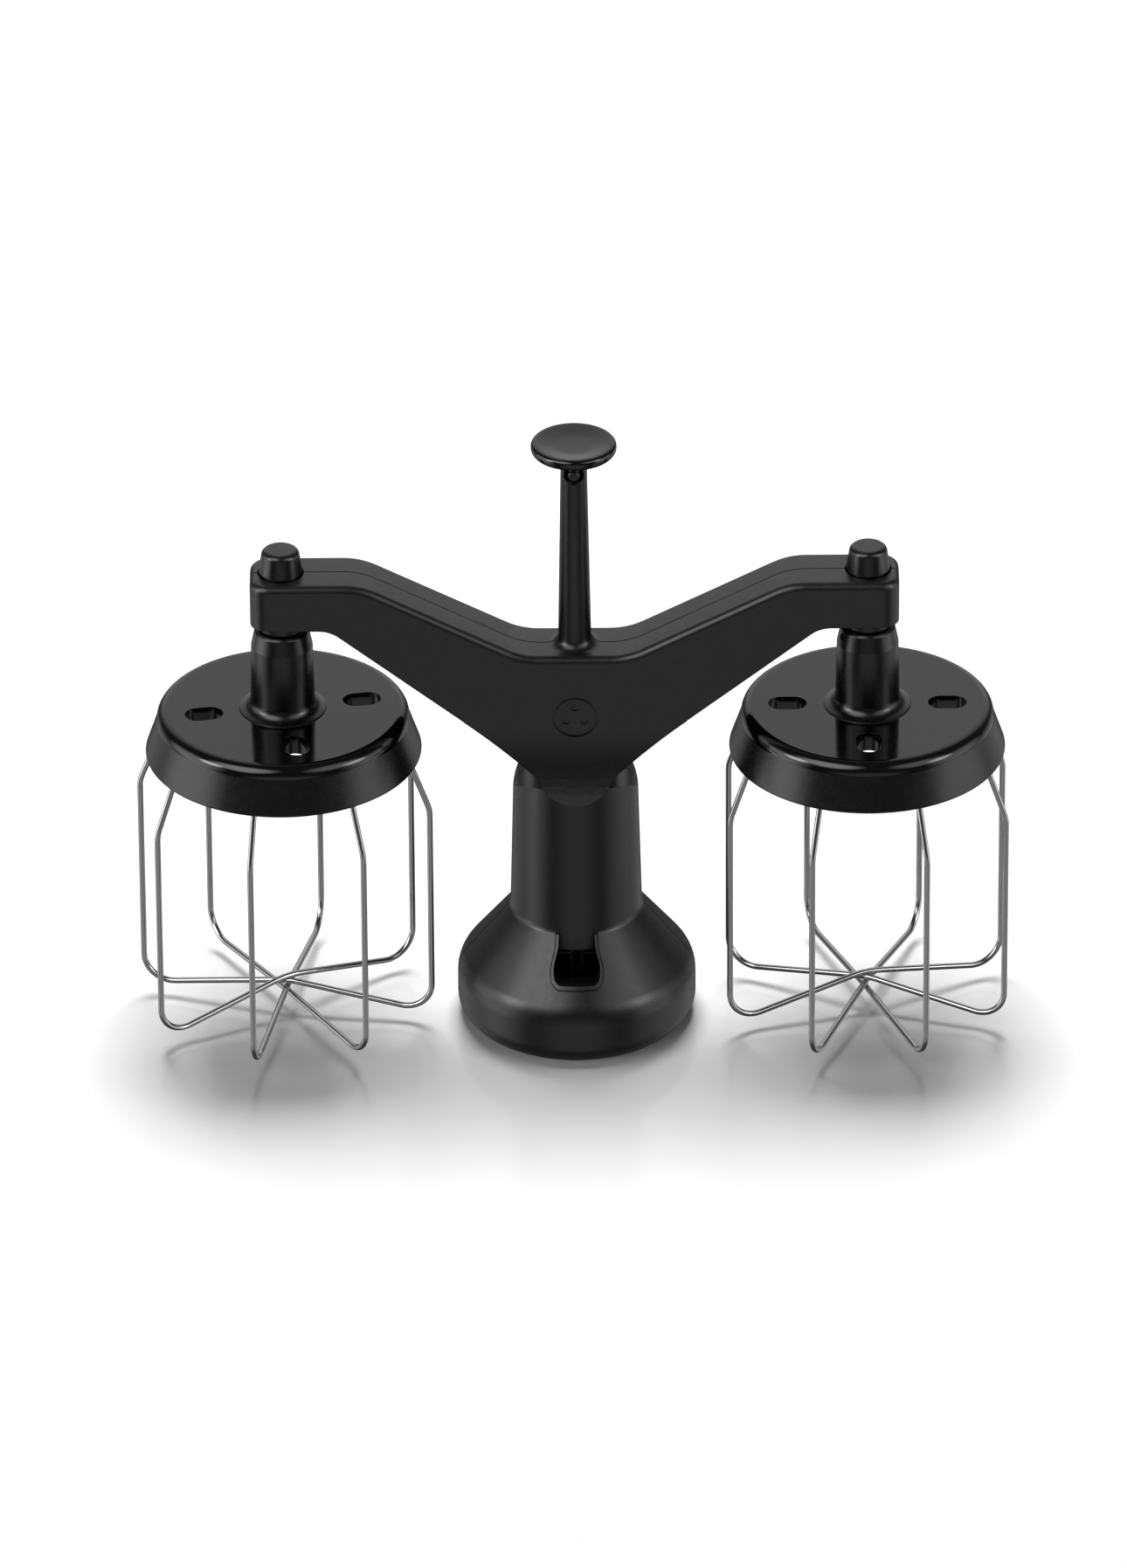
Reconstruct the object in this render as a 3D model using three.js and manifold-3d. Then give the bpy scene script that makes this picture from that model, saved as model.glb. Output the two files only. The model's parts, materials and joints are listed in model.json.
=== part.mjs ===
// Twin balloon-whisk head for the bowl of a stand mixer.
// Millimetres, +Z up. The origin is on the surface under the centre of the bell foot,
// the arms lie along X and the front faces -Y.
//
// The housing is two shells that meet on the plane y = 0. A drive shaft drops through the chimney and
// turns the housing round the bowl. The sun gear is held by the bowl, so the shaft in each arm turns and
// spins a hollow spindle, and each whisk snaps on to its spindle from below.

import * as THREE from 'three';
import * as BufferGeometryUtils from 'three/addons/utils/BufferGeometryUtils.js';
import Module from 'manifold-3d';

const wasm = await Module();
wasm.setup();

// ---------------------------------------------------------------- driving dimensions

const AIR = 0.3;                 // gap between two pieces that touch
const WALL = 2.2;                // wall of the housing shells
const DEG = Math.PI / 180;

const whiskAxisX = 72;           // from the column's axis to each whisk's axis
const leftWhiskTurn = 10 * DEG;  // the left whisk stands a little turned on its spindle

// the wing: the flat body with two arms
const wingDepth = 17;
const wingEndX = 79.6;
const armTopZ = 124;
const armUnderZ = 111.8;
const wingCentreZ = 103.8;       // top edge between the arms
const topSlope = 0.511;          // rise of the top edge
const topSlopeStartX = 12.96;    // where the top edge starts to rise
const underSlope = 0.7915;       // rise of the underside
const underSlopeEndX = 60.1;     // where the underside turns level
const neckHalfWidth = 8.2;
const neckRound = 3.2;           // round between the wing and the column's top

// the column, the bell foot and the chimney
const columnTopZ = 66;
const columnTopR = 15.4;
const columnFootR = 16.3;
const columnBoreR = 13;
const columnBoreTopZ = 60;
const bellJoinZ = 30.3;          // where the column runs into the bell
const bellR = 29.5;
const bellCeilingZ = 25;
const chimneyTopZ = 155.6;
const chimneyTopR = 3.2;
const chimneyFootR = 4.2;
const chimneyBoreR = 2.2;

// the bevel gears: cone distances, teeth and the slope of the arm shafts
const shaftTilt = 22 * DEG;
const outerApexZ = 120.3;        // where an arm shaft's axis meets its spindle's axis
const innerApexZ = outerApexZ - whiskAxisX * Math.tan(shaftTilt);
const spindleTeeth = 14;
const pinionTeeth = 8;
const sunTeeth = 14;
const outerConeL = 7.4;
const innerConeL = 6.5;

// the spindle, its bush and the whisk's cap
const spindleR = 3.6;
const spindleNeckR = 2.3;
const spindleFootZ = 88.3;
const hexTopZ = 98;              // the spindle's foot is a hexagon up to here
const hubTopZ = 108.5;
const hubR = 7.5;
const capTopZ = 86.1;
const capFlatR = 28.85;
const capBandR = 31.2;
const capBandZ = 82.9;
const capRimR = 34.25;
const capRimInnerR = 33.2;
const capRimZ = 74;
const capUnderZ = 83.9;
const slotCentreR = 19.7;
const slotLength = 9.5;
const slotWidth = 6.3;

// the wires
const wireR = 0.75;
const wireCageR = 36.8;
const wireCornerR = 7;
const wireLowZ = 3.9;            // middle of the wire at its lowest
const wireStepZ = 1.8;           // from one wire to the next where they cross
const wireKinkZ = 61;
const wireSeatZ = 82;            // the wires' level ends under the cap
const wireSeatR = 28.2;
const wireEndR = 25;
const wiresPerWhisk = 4;

const buttonTravel = 2.5;

// ---------------------------------------------------------------- materials

const satinBlack = { color: 0x1b1b1d, roughness: 0.55, metalness: 0 };
const glossBlack = { color: 0x0c0c0d, roughness: 0.18, metalness: 0 };
const brightSteel = { color: 0xb9bcc0, roughness: 0.2, metalness: 1 };
const acetal = { color: 0xe4e2da, roughness: 0.45, metalness: 0 };
const springSteel = { color: 0x8c8f94, roughness: 0.3, metalness: 1 };
const softRubber = { color: 0x202020, roughness: 0.8, metalness: 0 };

// ---------------------------------------------------------------- solids

/** Turn a closed three.js geometry into a solid with its faces pointing out. */
function solidOf(source) {
  const plain = source.clone();
  plain.deleteAttribute('normal');
  plain.deleteAttribute('uv');
  const merged = BufferGeometryUtils.mergeVertices(plain, 1e-4);
  const position = merged.attributes.position;
  const index = merged.index.array;
  const kept = [];
  let volume = 0;
  const a = new THREE.Vector3();
  const b = new THREE.Vector3();
  const c = new THREE.Vector3();
  for (let i = 0; i < index.length; i += 3) {
    const [p, q, r] = [index[i], index[i + 1], index[i + 2]];
    if (p === q || q === r || r === p) continue;
    kept.push(p, q, r);
    a.fromBufferAttribute(position, p);
    b.fromBufferAttribute(position, q);
    c.fromBufferAttribute(position, r);
    volume += a.dot(b.cross(c));
  }
  if (volume < 0) kept.reverse();
  const mesh = new wasm.Mesh({
    numProp: 3,
    vertProperties: new Float32Array(position.array),
    triVerts: new Uint32Array(kept),
  });
  return new wasm.Manifold(mesh);
}

/** Turn a solid back into a geometry for a mesh. */
function geometryOf(solid) {
  const mesh = solid.getMesh();
  const geometry = new THREE.BufferGeometry();
  geometry.setAttribute('position', new THREE.BufferAttribute(new Float32Array(mesh.vertProperties), 3));
  geometry.setIndex(new THREE.BufferAttribute(new Uint32Array(mesh.triVerts), 1));
  geometry.computeVertexNormals();
  return geometry;
}

/** Join any number of solids. */
function join(...solids) {
  return solids.reduce((whole, next) => whole.add(next));
}

/** Cut any number of solids from the first. */
function cut(solid, ...tools) {
  return tools.reduce((rest, tool) => rest.subtract(tool), solid);
}

/** Solid of revolution about Z. The profile's [r, z] points start and end on the axis, or close up. */
function turned(profile, segments) {
  const points = profile.map(([r, z]) => new THREE.Vector2(r, z));
  const onAxis = points[0].x === 0 && points[points.length - 1].x === 0;
  if (!onAxis) points.push(points[0].clone());
  return solidOf(new THREE.LatheGeometry(points, segments).rotateX(Math.PI / 2));
}

/** Plain cylinder along Z between two heights. */
function cylinder(radius, lowZ, highZ, segments = 20) {
  return turned([[0, lowZ], [radius, lowZ], [radius, highZ], [0, highZ]], segments);
}

/** Ring along Z between two heights. */
function ring(innerR, outerR, lowZ, highZ, segments = 20) {
  return turned([[innerR, lowZ], [outerR, lowZ], [outerR, highZ], [innerR, highZ]], segments);
}

/** Box between two corners. */
function block([x0, y0, z0], [x1, y1, z1]) {
  const box = new THREE.BoxGeometry(x1 - x0, y1 - y0, z1 - z0);
  return solidOf(box.translate((x0 + x1) / 2, (y0 + y1) / 2, (z0 + z1) / 2));
}

/** Prism along Z of an outline of Vector2 points. */
function prism(outline, lowZ, highZ) {
  const shape = new THREE.Shape(outline);
  const geometry = new THREE.ExtrudeGeometry(shape, { depth: highZ - lowZ, bevelEnabled: false });
  return solidOf(geometry.translate(0, 0, lowZ));
}

/** Prism along Y of an outline in X and Z, between two values of y. */
function prismAlongY(outline, lowY, highY, edge = 0) {
  const shape = new THREE.Shape(outline);
  const bevel = { bevelThickness: edge, bevelSize: edge, bevelOffset: -edge, bevelSegments: 1 };
  const depth = highY - lowY - 2 * edge;
  const geometry = new THREE.ExtrudeGeometry(shape, { depth, bevelEnabled: edge > 0, ...bevel });
  return solidOf(geometry.rotateX(Math.PI / 2).translate(0, highY - edge, 0));
}

/** Cylinder along Y through a point of the XZ plane. */
function cylinderAlongY(x, z, radius, lowY, highY, segments = 14) {
  const geometry = new THREE.CylinderGeometry(radius, radius, highY - lowY, segments);
  return solidOf(geometry.translate(x, (lowY + highY) / 2, z));
}

/** Outline whose corners, given as [x, y, radius], are rounded by arcs. */
function roundedOutline(corners, stepAngle = 30 * DEG) {
  const outline = [];
  corners.forEach(([x, y, radius], i) => {
    const corner = new THREE.Vector2(x, y);
    const before = corners[(i + corners.length - 1) % corners.length];
    const after = corners[(i + 1) % corners.length];
    const back = new THREE.Vector2(before[0], before[1]).sub(corner).normalize();
    const ahead = new THREE.Vector2(after[0], after[1]).sub(corner).normalize();
    const halfAngle = Math.acos(THREE.MathUtils.clamp(back.dot(ahead), -1, 1)) / 2;
    if (!radius) {
      outline.push(corner);
      return;
    }
    const middle = back.clone().add(ahead).normalize();
    const centre = corner.clone().addScaledVector(middle, radius / Math.sin(halfAngle));
    const reach = radius / Math.tan(halfAngle);
    const from = corner.clone().addScaledVector(back, reach).sub(centre);
    const sweep = Math.PI - 2 * halfAngle;
    const side = Math.sign(back.cross(ahead)) * -1;
    const steps = Math.max(1, Math.ceil(sweep / stepAngle));
    for (let k = 0; k <= steps; k++) {
      const arm = from.clone().rotateAround(new THREE.Vector2(), side * sweep * k / steps);
      outline.push(centre.clone().add(arm));
    }
  });
  return outline;
}

/** Points of an arc, in [r, z], about a centre, both ends included. */
function arc(centreR, centreZ, radius, fromDeg, toDeg, steps) {
  const points = [];
  for (let k = 0; k <= steps; k++) {
    const angle = (fromDeg + (toDeg - fromDeg) * k / steps) * DEG;
    points.push([centreR + radius * Math.cos(angle), centreZ + radius * Math.sin(angle)]);
  }
  return points;
}

/** Regular hexagon of a given corner radius, as an outline. */
function hexagon(cornerR) {
  const outline = [];
  for (let k = 0; k < 6; k++) {
    outline.push(new THREE.Vector2(cornerR * Math.cos(k * 60 * DEG), cornerR * Math.sin(k * 60 * DEG)));
  }
  return outline;
}

/** Round bar along a list of points, with one step from each point to the next. */
function bar(points, radius, sides) {
  const path = new THREE.CatmullRomCurve3(points);
  path.getUtoTmapping = (u) => u;
  const section = new THREE.Shape();
  for (let k = 0; k < sides; k++) {
    const angle = k * 2 * Math.PI / sides;
    const corner = [radius * Math.cos(angle), radius * Math.sin(angle)];
    if (k === 0) section.moveTo(...corner);
    else section.lineTo(...corner);
  }
  return new THREE.ExtrudeGeometry(section, { extrudePath: path, steps: points.length - 1 });
}

// ---------------------------------------------------------------- bevel gears

/**
 * Bevel gear with its apex at the origin, opening along +Z. Every tooth flank is a ray from the apex,
 * and the teeth are slimmer than their gaps so that a pair turns freely.
 */
function bevelGear({ teeth, pitchAngle, coneL, faceShare, boreR, backDepth }) {
  const addendum = 0.3 * pitchStep(teeth, pitchAngle);
  const dedendum = 0.42 * pitchStep(teeth, pitchAngle);
  const rootAngle = pitchAngle - dedendum;
  const tipAngle = pitchAngle + addendum;
  const innerL = coneL * faceShare;
  const rootR = coneL * Math.sin(rootAngle);
  const rootZ = coneL * Math.cos(rootAngle);
  const body = [
    [boreR, rootZ * faceShare],
    [rootR * faceShare, rootZ * faceShare],
    [rootR, rootZ],
    [rootR, rootZ + backDepth],
    [boreR, rootZ + backDepth],
  ];
  if (boreR === 0) body.reverse();
  let gear = turned(body, teeth);
  const rootHalf = 0.25 * 2 * Math.PI / teeth;
  const tipHalf = 0.1 * 2 * Math.PI / teeth;
  const sunk = rootAngle - 0.3 * dedendum;
  for (let k = 0; k < teeth; k++) {
    const middle = k * 2 * Math.PI / teeth;
    const tooth = new THREE.BoxGeometry(1, 1, 1);
    const position = tooth.attributes.position;
    for (let i = 0; i < position.count; i++) {
      const atTip = position.getY(i) > 0;
      const distance = position.getZ(i) > 0 ? coneL : innerL;
      const polar = atTip ? tipAngle : sunk;
      const round = middle + Math.sign(position.getX(i)) * (atTip ? tipHalf : rootHalf);
      const point = new THREE.Vector3().setFromSphericalCoords(distance, polar, 0);
      position.setXYZ(i, point.z * Math.cos(round), point.z * Math.sin(round), point.y);
    }
    gear = gear.add(solidOf(tooth));
  }
  return gear;
}

/** Angle at the apex from one tooth to the next, along the pitch cone. */
function pitchStep(teeth, pitchAngle) {
  return 2 * Math.PI * Math.sin(pitchAngle) / teeth;
}

/** Pitch angles of two bevel gears whose axes stand at a given angle. */
function pitchAngles(axesAngle, teethA, teethB) {
  const angleA = Math.atan2(Math.sin(axesAngle), teethB / teethA + Math.cos(axesAngle));
  return [angleA, axesAngle - angleA];
}

const [spindlePitch, outerPinionPitch] = pitchAngles(90 * DEG - shaftTilt, spindleTeeth, pinionTeeth);
const [sunPitch, innerPinionPitch] = pitchAngles(90 * DEG + shaftTilt, sunTeeth, pinionTeeth);
const halfPinionStep = Math.PI / pinionTeeth;

// ---------------------------------------------------------------- housing

const screwSpots = [[58, 119.6], [30, 94.4], [13.6, 87.3]];
const bearingSpots = [
  { along: 10, seatR: 3.0 },
  { along: whiskAxisX / Math.cos(shaftTilt) - 11.7, seatR: 2.7 },
];
const bearingLength = 4.2;
const shaftR = 1.4;

/** Height of the wing's rising top edge at x. */
function topEdgeZ(x) {
  return wingCentreZ + topSlope * (x - topSlopeStartX);
}

/** Mirror a list of right-hand corners, given from top to bottom, into a closed outline. */
function mirroredCorners(right) {
  const left = right.map(([x, z, radius]) => [-x, z, radius]).reverse();
  return [...right, ...left];
}

/** Outer form of the wing: a flat body whose arms rise to level ends, on a narrow neck. */
function wingSolid() {
  const levelX = topSlopeStartX + (armTopZ - wingCentreZ) / topSlope;
  const neckSlopeZ = armUnderZ - underSlope * (underSlopeEndX - neckHalfWidth);
  const outline = roundedOutline(mirroredCorners([
    [topSlopeStartX, wingCentreZ, 18],
    [levelX, armTopZ, 18],
    [wingEndX, armTopZ, 2.2],
    [wingEndX, armUnderZ, 2.2],
    [underSlopeEndX, armUnderZ, 8],
    [neckHalfWidth, neckSlopeZ, neckRound],
    [neckHalfWidth, columnTopZ - 1.5, 0],
  ]));
  const slab = prismAlongY(outline, -wingDepth / 2, wingDepth / 2, 1.2);
  const plan = roundedOutline([
    [wingEndX, -wingDepth / 2, 5],
    [wingEndX, wingDepth / 2, 5],
    [-wingEndX, wingDepth / 2, 5],
    [-wingEndX, -wingDepth / 2, 5],
  ]);
  return slab.intersect(prism(plan, columnTopZ - 3, armTopZ + 1));
}

/** Column, bell foot and chimney, as one turned form. */
function turnedSolid() {
  const foot = turned([
    [0, 0],
    [26.9, 0],
    ...arc(26.2, 3.6, 3.3, -60, 0, 2),
    ...arc(21.5, 9, 8, -5, 45, 4).slice(1),
    [columnFootR + 1.1, bellJoinZ - 1.3],
    [columnFootR, bellJoinZ + 0.9],
    [columnTopR, columnTopZ - 2.4],
    ...arc(columnTopR - 2.4, columnTopZ - 2.4, 2.4, 30, 90, 2),
    [0, columnTopZ],
  ], 32);
  const chimney = turned([
    [0, wingCentreZ - 3],
    [7.2, wingCentreZ - 3],
    [7.2, wingCentreZ - 0.1],
    [5.2, wingCentreZ + 0.9],
    [chimneyFootR, wingCentreZ + 3.4],
    [chimneyTopR, chimneyTopZ],
    [0, chimneyTopZ],
  ], 16);
  return join(foot, chimney);
}

/** Hollow fillets between the wing's flat faces and the column's top, at the front and the back. */
function neckBlend() {
  const wallY = wingDepth / 2 - 0.1;
  const outline = [
    [wallY + 3.8, columnTopZ - 2],
    [wallY + 3.8, columnTopZ],
    [wallY + 1.3, columnTopZ + 0.9],
    [wallY, columnTopZ + 3.6],
  ];
  const mirrored = outline.map(([y, z]) => [-y, z]).reverse();
  const points = [...outline, ...mirrored].map(([y, z]) => new THREE.Vector2(y, z));
  const side = neckHalfWidth - 0.1;
  return prismAlongY(points, -side, side).rotate([0, 0, 90]);
}

/** Hollow of the arms, where the shafts run. */
function armHollow() {
  const roof = armTopZ - 1.8;
  const floor = armUnderZ + 1.8;
  const drop = WALL / Math.cos(Math.atan(topSlope));
  const rise = WALL / Math.cos(Math.atan(underSlope));
  const ceiling = wingCentreZ - WALL;
  const cavityFloor = 84;
  const roofX = topSlopeStartX + (roof + drop - wingCentreZ) / topSlope;
  const ceilingX = topSlopeStartX + (ceiling + drop - wingCentreZ) / topSlope;
  const underAt = (z) => underSlopeEndX - (armUnderZ - (z - rise)) / underSlope;
  const outline = roundedOutline(mirroredCorners([
    [ceilingX, ceiling, 0],
    [roofX, roof, 0],
    [wingEndX - 1.6, roof, 0],
    [wingEndX - 1.6, floor, 0],
    [underAt(floor), floor, 0],
    [underAt(cavityFloor), cavityFloor, 0],
  ]));
  const inner = wingDepth / 2 - WALL;
  return prismAlongY(outline, -inner, inner);
}

/** Ribs that hold the arm shafts' bearings, for the right arm. */
function bearingRib({ along, seatR }) {
  const rib = new THREE.BoxGeometry(2 * seatR + 7, wingDepth - 2, 3);
  rib.translate(0, 0, along).rotateY(90 * DEG - shaftTilt).translate(0, 0, innerApexZ);
  return solidOf(rib);
}

/** Round seat for one bearing, cut through its rib. */
function bearingSeat({ along, seatR }) {
  const seat = new THREE.CylinderGeometry(seatR + AIR, seatR + AIR, bearingLength + 1, 12);
  seat.rotateX(90 * DEG).translate(0, 0, along);
  seat.rotateY(90 * DEG - shaftTilt).translate(0, 0, innerApexZ);
  return solidOf(seat);
}

/** Window in the front of the bell: it bares the column's wall and opens below it into the bell. */
function bellWindow() {
  const outline = roundedOutline([
    [3.3, bellJoinZ + 2.6, 1.2],
    [6.3, bellJoinZ - 7, 2],
    [6.3, 19.6, 2],
    [-6.3, 19.6, 2],
    [-6.3, bellJoinZ - 7, 2],
    [-3.3, bellJoinZ + 2.6, 1.2],
  ]);
  const through = prismAlongY(outline, -bellR - 5, -columnBoreR - 1);
  return through.subtract(cylinder(columnFootR + 0.1, bellCeilingZ, bellJoinZ + 5, 32));
}

/** The same solid, and its copy turned half round the column. */
function bothSides(solid) {
  return solid.add(solid.rotate([0, 0, 180]));
}

/** The whole housing before it is split. */
function housingSolid() {
  const outer = join(wingSolid(), turnedSolid(), neckBlend());
  const bellHollow = turned([
    [0, -1],
    [25, -1],
    [25.2, 0.4],
    [26.9, 4],
    [26.6, 9],
    [25, 13.6],
    [columnFootR + 0.3, bellCeilingZ],
    [columnBoreR, bellCeilingZ],
    [columnBoreR, columnBoreTopZ],
    [0, columnBoreTopZ],
  ], 24);
  const sunRelief = cylinder(7, 84, innerApexZ + 3.5, 16);
  const bushBore = cylinder(7.7, columnBoreTopZ - 1, 85, 16);
  const chimneyBore = cylinder(chimneyBoreR, wingCentreZ - 6, chimneyTopZ + 1, 12);
  const notch = block([-2.5, -5, 149.5], [2.5, -1, chimneyTopZ + 1]);
  const spindleHole = cylinder(5.3, armUnderZ - 1, armUnderZ + 3).translate([whiskAxisX, 0, 0]);
  const buttonHole = cylinder(5.7, armTopZ - 3, armTopZ + 1).translate([whiskAxisX, 0, 0]);

  let bosses = null;
  let screwHoles = null;
  for (const [x, z] of screwSpots) {
    for (const side of [1, -1]) {
      const boss = cylinderAlongY(side * x, z, 3.7, -7.5, 7.5, 10);
      const pilot = cylinderAlongY(side * x, z, 1.5, -6.4, 7.5, 8);
      const sink = cylinderAlongY(side * x, z, 2.8, 5.5, 10, 10);
      bosses = bosses ? bosses.add(boss) : boss;
      screwHoles = screwHoles ? join(screwHoles, pilot, sink) : join(pilot, sink);
    }
  }
  const ribs = bothSides(join(...bearingSpots.map(bearingRib)));
  const seats = bothSides(join(...bearingSpots.map(bearingSeat)));
  const frame = join(bosses, ribs).intersect(outer);
  const hollow = cut(outer, armHollow(), bellHollow, sunRelief, bushBore);
  const holes = [chimneyBore, notch, bothSides(spindleHole), bothSides(buttonHole), screwHoles, seats];
  const shaftWay = bothSides(armShaftWay());
  return cut(hollow.add(frame), ...holes, shaftWay, bellWindow(), sunRelief);
}

/** Free way round each arm shaft through ribs and walls. */
function armShaftWay() {
  const length = whiskAxisX / Math.cos(shaftTilt) - 12;
  const way = new THREE.CylinderGeometry(shaftR + 0.5, shaftR + 0.5, length, 10);
  way.rotateX(90 * DEG).translate(0, 0, 5 + length / 2);
  way.rotateY(90 * DEG - shaftTilt).translate(0, 0, innerApexZ);
  return solidOf(way);
}

/** One of the two shells: side -1 is the front, +1 the rear. */
function housingShell(whole, side) {
  const near = side * AIR / 2;
  const far = side * 40;
  const half = block([-90, Math.min(near, far), -1], [90, Math.max(near, far), 170]);
  return whole.intersect(half);
}

/** Sunk screw with a slotted head, along Y, its head to the rear. */
function housingScrew() {
  const screw = turned([
    [0, -5.6],
    [1.2, -5.6],
    [1.2, 5.8],
    [2.5, 5.8],
    [2.5, 7.6],
    [0, 7.6],
  ], 10);
  const slot = block([-1.8, -0.35, 6.8], [1.8, 0.35, 8]);
  return screw.subtract(slot).rotate([-90, 0, 0]);
}

// ---------------------------------------------------------------- gear train in the column

/** Sun gear on its sleeve, apex at the origin's height given by innerApexZ. */
function sunGear() {
  const gear = bevelGear({
    teeth: sunTeeth, pitchAngle: sunPitch, coneL: innerConeL, faceShare: 0.8, boreR: 2.2, backDepth: 0.9,
  });
  const placed = gear.rotate([0, 180, 0]).translate([0, 0, innerApexZ]);
  const sleeve = ring(2.2, 4.6, 56.6, innerApexZ - 2.9, 14);
  return placed.add(sleeve);
}

/** Cup that takes the top of the bowl's fixed centre post. */
function sunSocket() {
  const cup = turned([[4.9, 59.4], [10.3, 59.4], [11.2, 57], [11.2, 45], [4.9, 45]], 24);
  return cup.subtract(prism(hexagon(8.6), 44, 56));
}

// ---------------------------------------------------------------- arm: shaft, pinions and spindle

/** Arm shaft with its outer pinion cut on it, along the shaft's own axis from the inner apex. */
function armShaft() {
  const outerApexAlong = whiskAxisX / Math.cos(shaftTilt);
  const pinion = bevelGear({
    teeth: pinionTeeth, pitchAngle: outerPinionPitch, coneL: outerConeL, faceShare: 0.68, boreR: 0, backDepth: 0.8,
  });
  const turn = 180 - 180 / pinionTeeth;
  const placed = pinion.rotate([0, 180, turn]).translate([0, 0, outerApexAlong]);
  return placed.add(cylinder(shaftR, 4.1, outerApexAlong - 7, 10));
}

/** Pinion pressed on the inner end of the arm shaft. */
function innerPinion() {
  return bevelGear({
    teeth: pinionTeeth, pitchAngle: innerPinionPitch, coneL: innerConeL, faceShare: 0.8, boreR: 1.7, backDepth: 0.8,
  }).rotate([0, 0, 180 / pinionTeeth]);
}

/** Plain bearing of an arm shaft, at the origin along Z. */
function armBearing(seatR) {
  return ring(shaftR + AIR, seatR, -bearingLength / 2, bearingLength / 2, 12);
}

/** Gear on the spindle, facing up to its apex. */
function spindleGear() {
  const gear = bevelGear({
    teeth: spindleTeeth, pitchAngle: spindlePitch, coneL: outerConeL, faceShare: 0.68,
    boreR: spindleNeckR + AIR, backDepth: 0.45,
  });
  return gear.rotate([0, 180, 0]).translate([0, 0, outerApexZ]);
}

/** Hollow spindle with a hexagonal foot. */
function spindle() {
  const round = turned([
    [0, hexTopZ - 0.2],
    [spindleR, hexTopZ - 0.2],
    [spindleR, 113.6],
    [spindleNeckR, 113.6],
    [spindleNeckR, 119.4],
    [0, 119.4],
  ], 18);
  const foot = prism(hexagon(spindleR), spindleFootZ, hexTopZ);
  return join(round, foot).subtract(cylinder(1.25, spindleFootZ - 1, 121, 10));
}

/** Flanged bush between the arm's floor and the whisk's hub. */
function neckBush() {
  return turned([
    [spindleR + AIR, 108.85],
    [5.5, 108.85],
    [6, 109.4],
    [6, armUnderZ - AIR],
    [5, armUnderZ - AIR],
    [5, 113.5],
    [spindleR + AIR, 113.5],
  ], 20);
}

/** Eject button: a blunt cone on the arm's end, with a stem down through the spindle. */
function ejectButton() {
  const topZ = armTopZ + 6.4;
  return turned([
    [0, 89],
    [0.9, 89],
    [0.9, topZ - 2.6],
    [3.2, topZ - 2.6],
    [3.2, armTopZ - 0.2],
    [5.4, armTopZ - 0.2],
    [5.4, armTopZ + 0.4],
    [4.3, topZ - 0.9],
    [3.5, topZ],
    [0, topZ],
  ], 20);
}

/** Coil spring that lifts the eject button. */
function buttonSpring() {
  const turns = 4;
  const stepsPerTurn = 6;
  const lowZ = 119.95;
  const highZ = 127.2;
  const points = [];
  for (let k = 0; k <= turns * stepsPerTurn; k++) {
    const angle = k * 2 * Math.PI / stepsPerTurn;
    const z = lowZ + (highZ - lowZ) * k / (turns * stepsPerTurn);
    points.push(new THREE.Vector3(2.1 * Math.cos(angle), 2.1 * Math.sin(angle), z));
  }
  return bar(points, 0.3, 4);
}

// ---------------------------------------------------------------- whisk

/** Cap of one whisk: hub, flat top, flared skirt and the ring that the wires sit in. */
function whiskCap() {
  const body = turned([
    [0, 79.6],
    [11, 79.6],
    [11, capUnderZ],
    [26.2, capUnderZ],
    [26.2, 80.5],
    [29.2, 80.5],
    [29.2, capUnderZ - 0.9],
    [capRimInnerR, capRimZ],
    [capRimR - 0.4, capRimZ],
    [capRimR, capRimZ + 0.6],
    [capBandR, capBandZ],
    [capFlatR + 1.1, capTopZ - 0.45],
    [capFlatR, capTopZ],
    [hubR + 2.7, capTopZ],
    [hubR + 0.6, capTopZ + 1.1],
    [hubR + 0.2, 101.8],
    [hubR - 0.5, 102.4],
    [hubR, 103],
    [hubR - 0.1, hubTopZ - 1.6],
    [hubR - 1.2, hubTopZ],
    [0, hubTopZ],
  ], 24);
  const hexSocket = prism(hexagon(spindleR + 0.5), 85.5, hexTopZ);
  const bore = cylinder(spindleR + 0.45, hexTopZ - 0.5, hubTopZ + 1, 18);
  const ringGroove = cylinder(5.3, 104.2, 106, 18);
  const vent = new THREE.CylinderGeometry(1, 1, 8, 6);
  vent.rotateZ(90 * DEG).translate(-7, 0, 106.6).rotateZ(25 * DEG);
  const slots = [];
  for (let k = 0; k < 4; k++) {
    const reach = (slotLength - slotWidth) / 2;
    const outline = roundedOutline([
      [slotCentreR + reach + slotWidth / 2, -slotWidth / 2, slotWidth / 2 - 0.01],
      [slotCentreR + reach + slotWidth / 2, slotWidth / 2, slotWidth / 2 - 0.01],
      [slotCentreR - reach - slotWidth / 2, slotWidth / 2, slotWidth / 2 - 0.01],
      [slotCentreR - reach - slotWidth / 2, -slotWidth / 2, slotWidth / 2 - 0.01],
    ], 45 * DEG);
    slots.push(prism(outline, capUnderZ - 1, capTopZ + 1).rotate([0, 0, 90 * k]));
  }
  const notches = [];
  for (let k = 0; k < 2 * wiresPerWhisk; k++) {
    const notch = block([24, -1.05, 80], [30.4, 1.05, wireSeatZ + 1.05]);
    notches.push(notch.rotate([0, 0, 22.5 + 45 * k]));
  }
  return cut(body, hexSocket, bore, ringGroove, solidOf(vent), ...slots, ...notches);
}

/** Grip ring in the hub's groove, which snaps on to the spindle. */
function gripRing() {
  return turned(arc(4.5, 105.1, 0.5, 0, 288, 4), 12);
}

/** Flat ring under the cap that shuts the wires in their notches. */
function wireLockRing() {
  return ring(25, wireSeatR - 0.6, 78.7, 80.2, 24);
}

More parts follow.
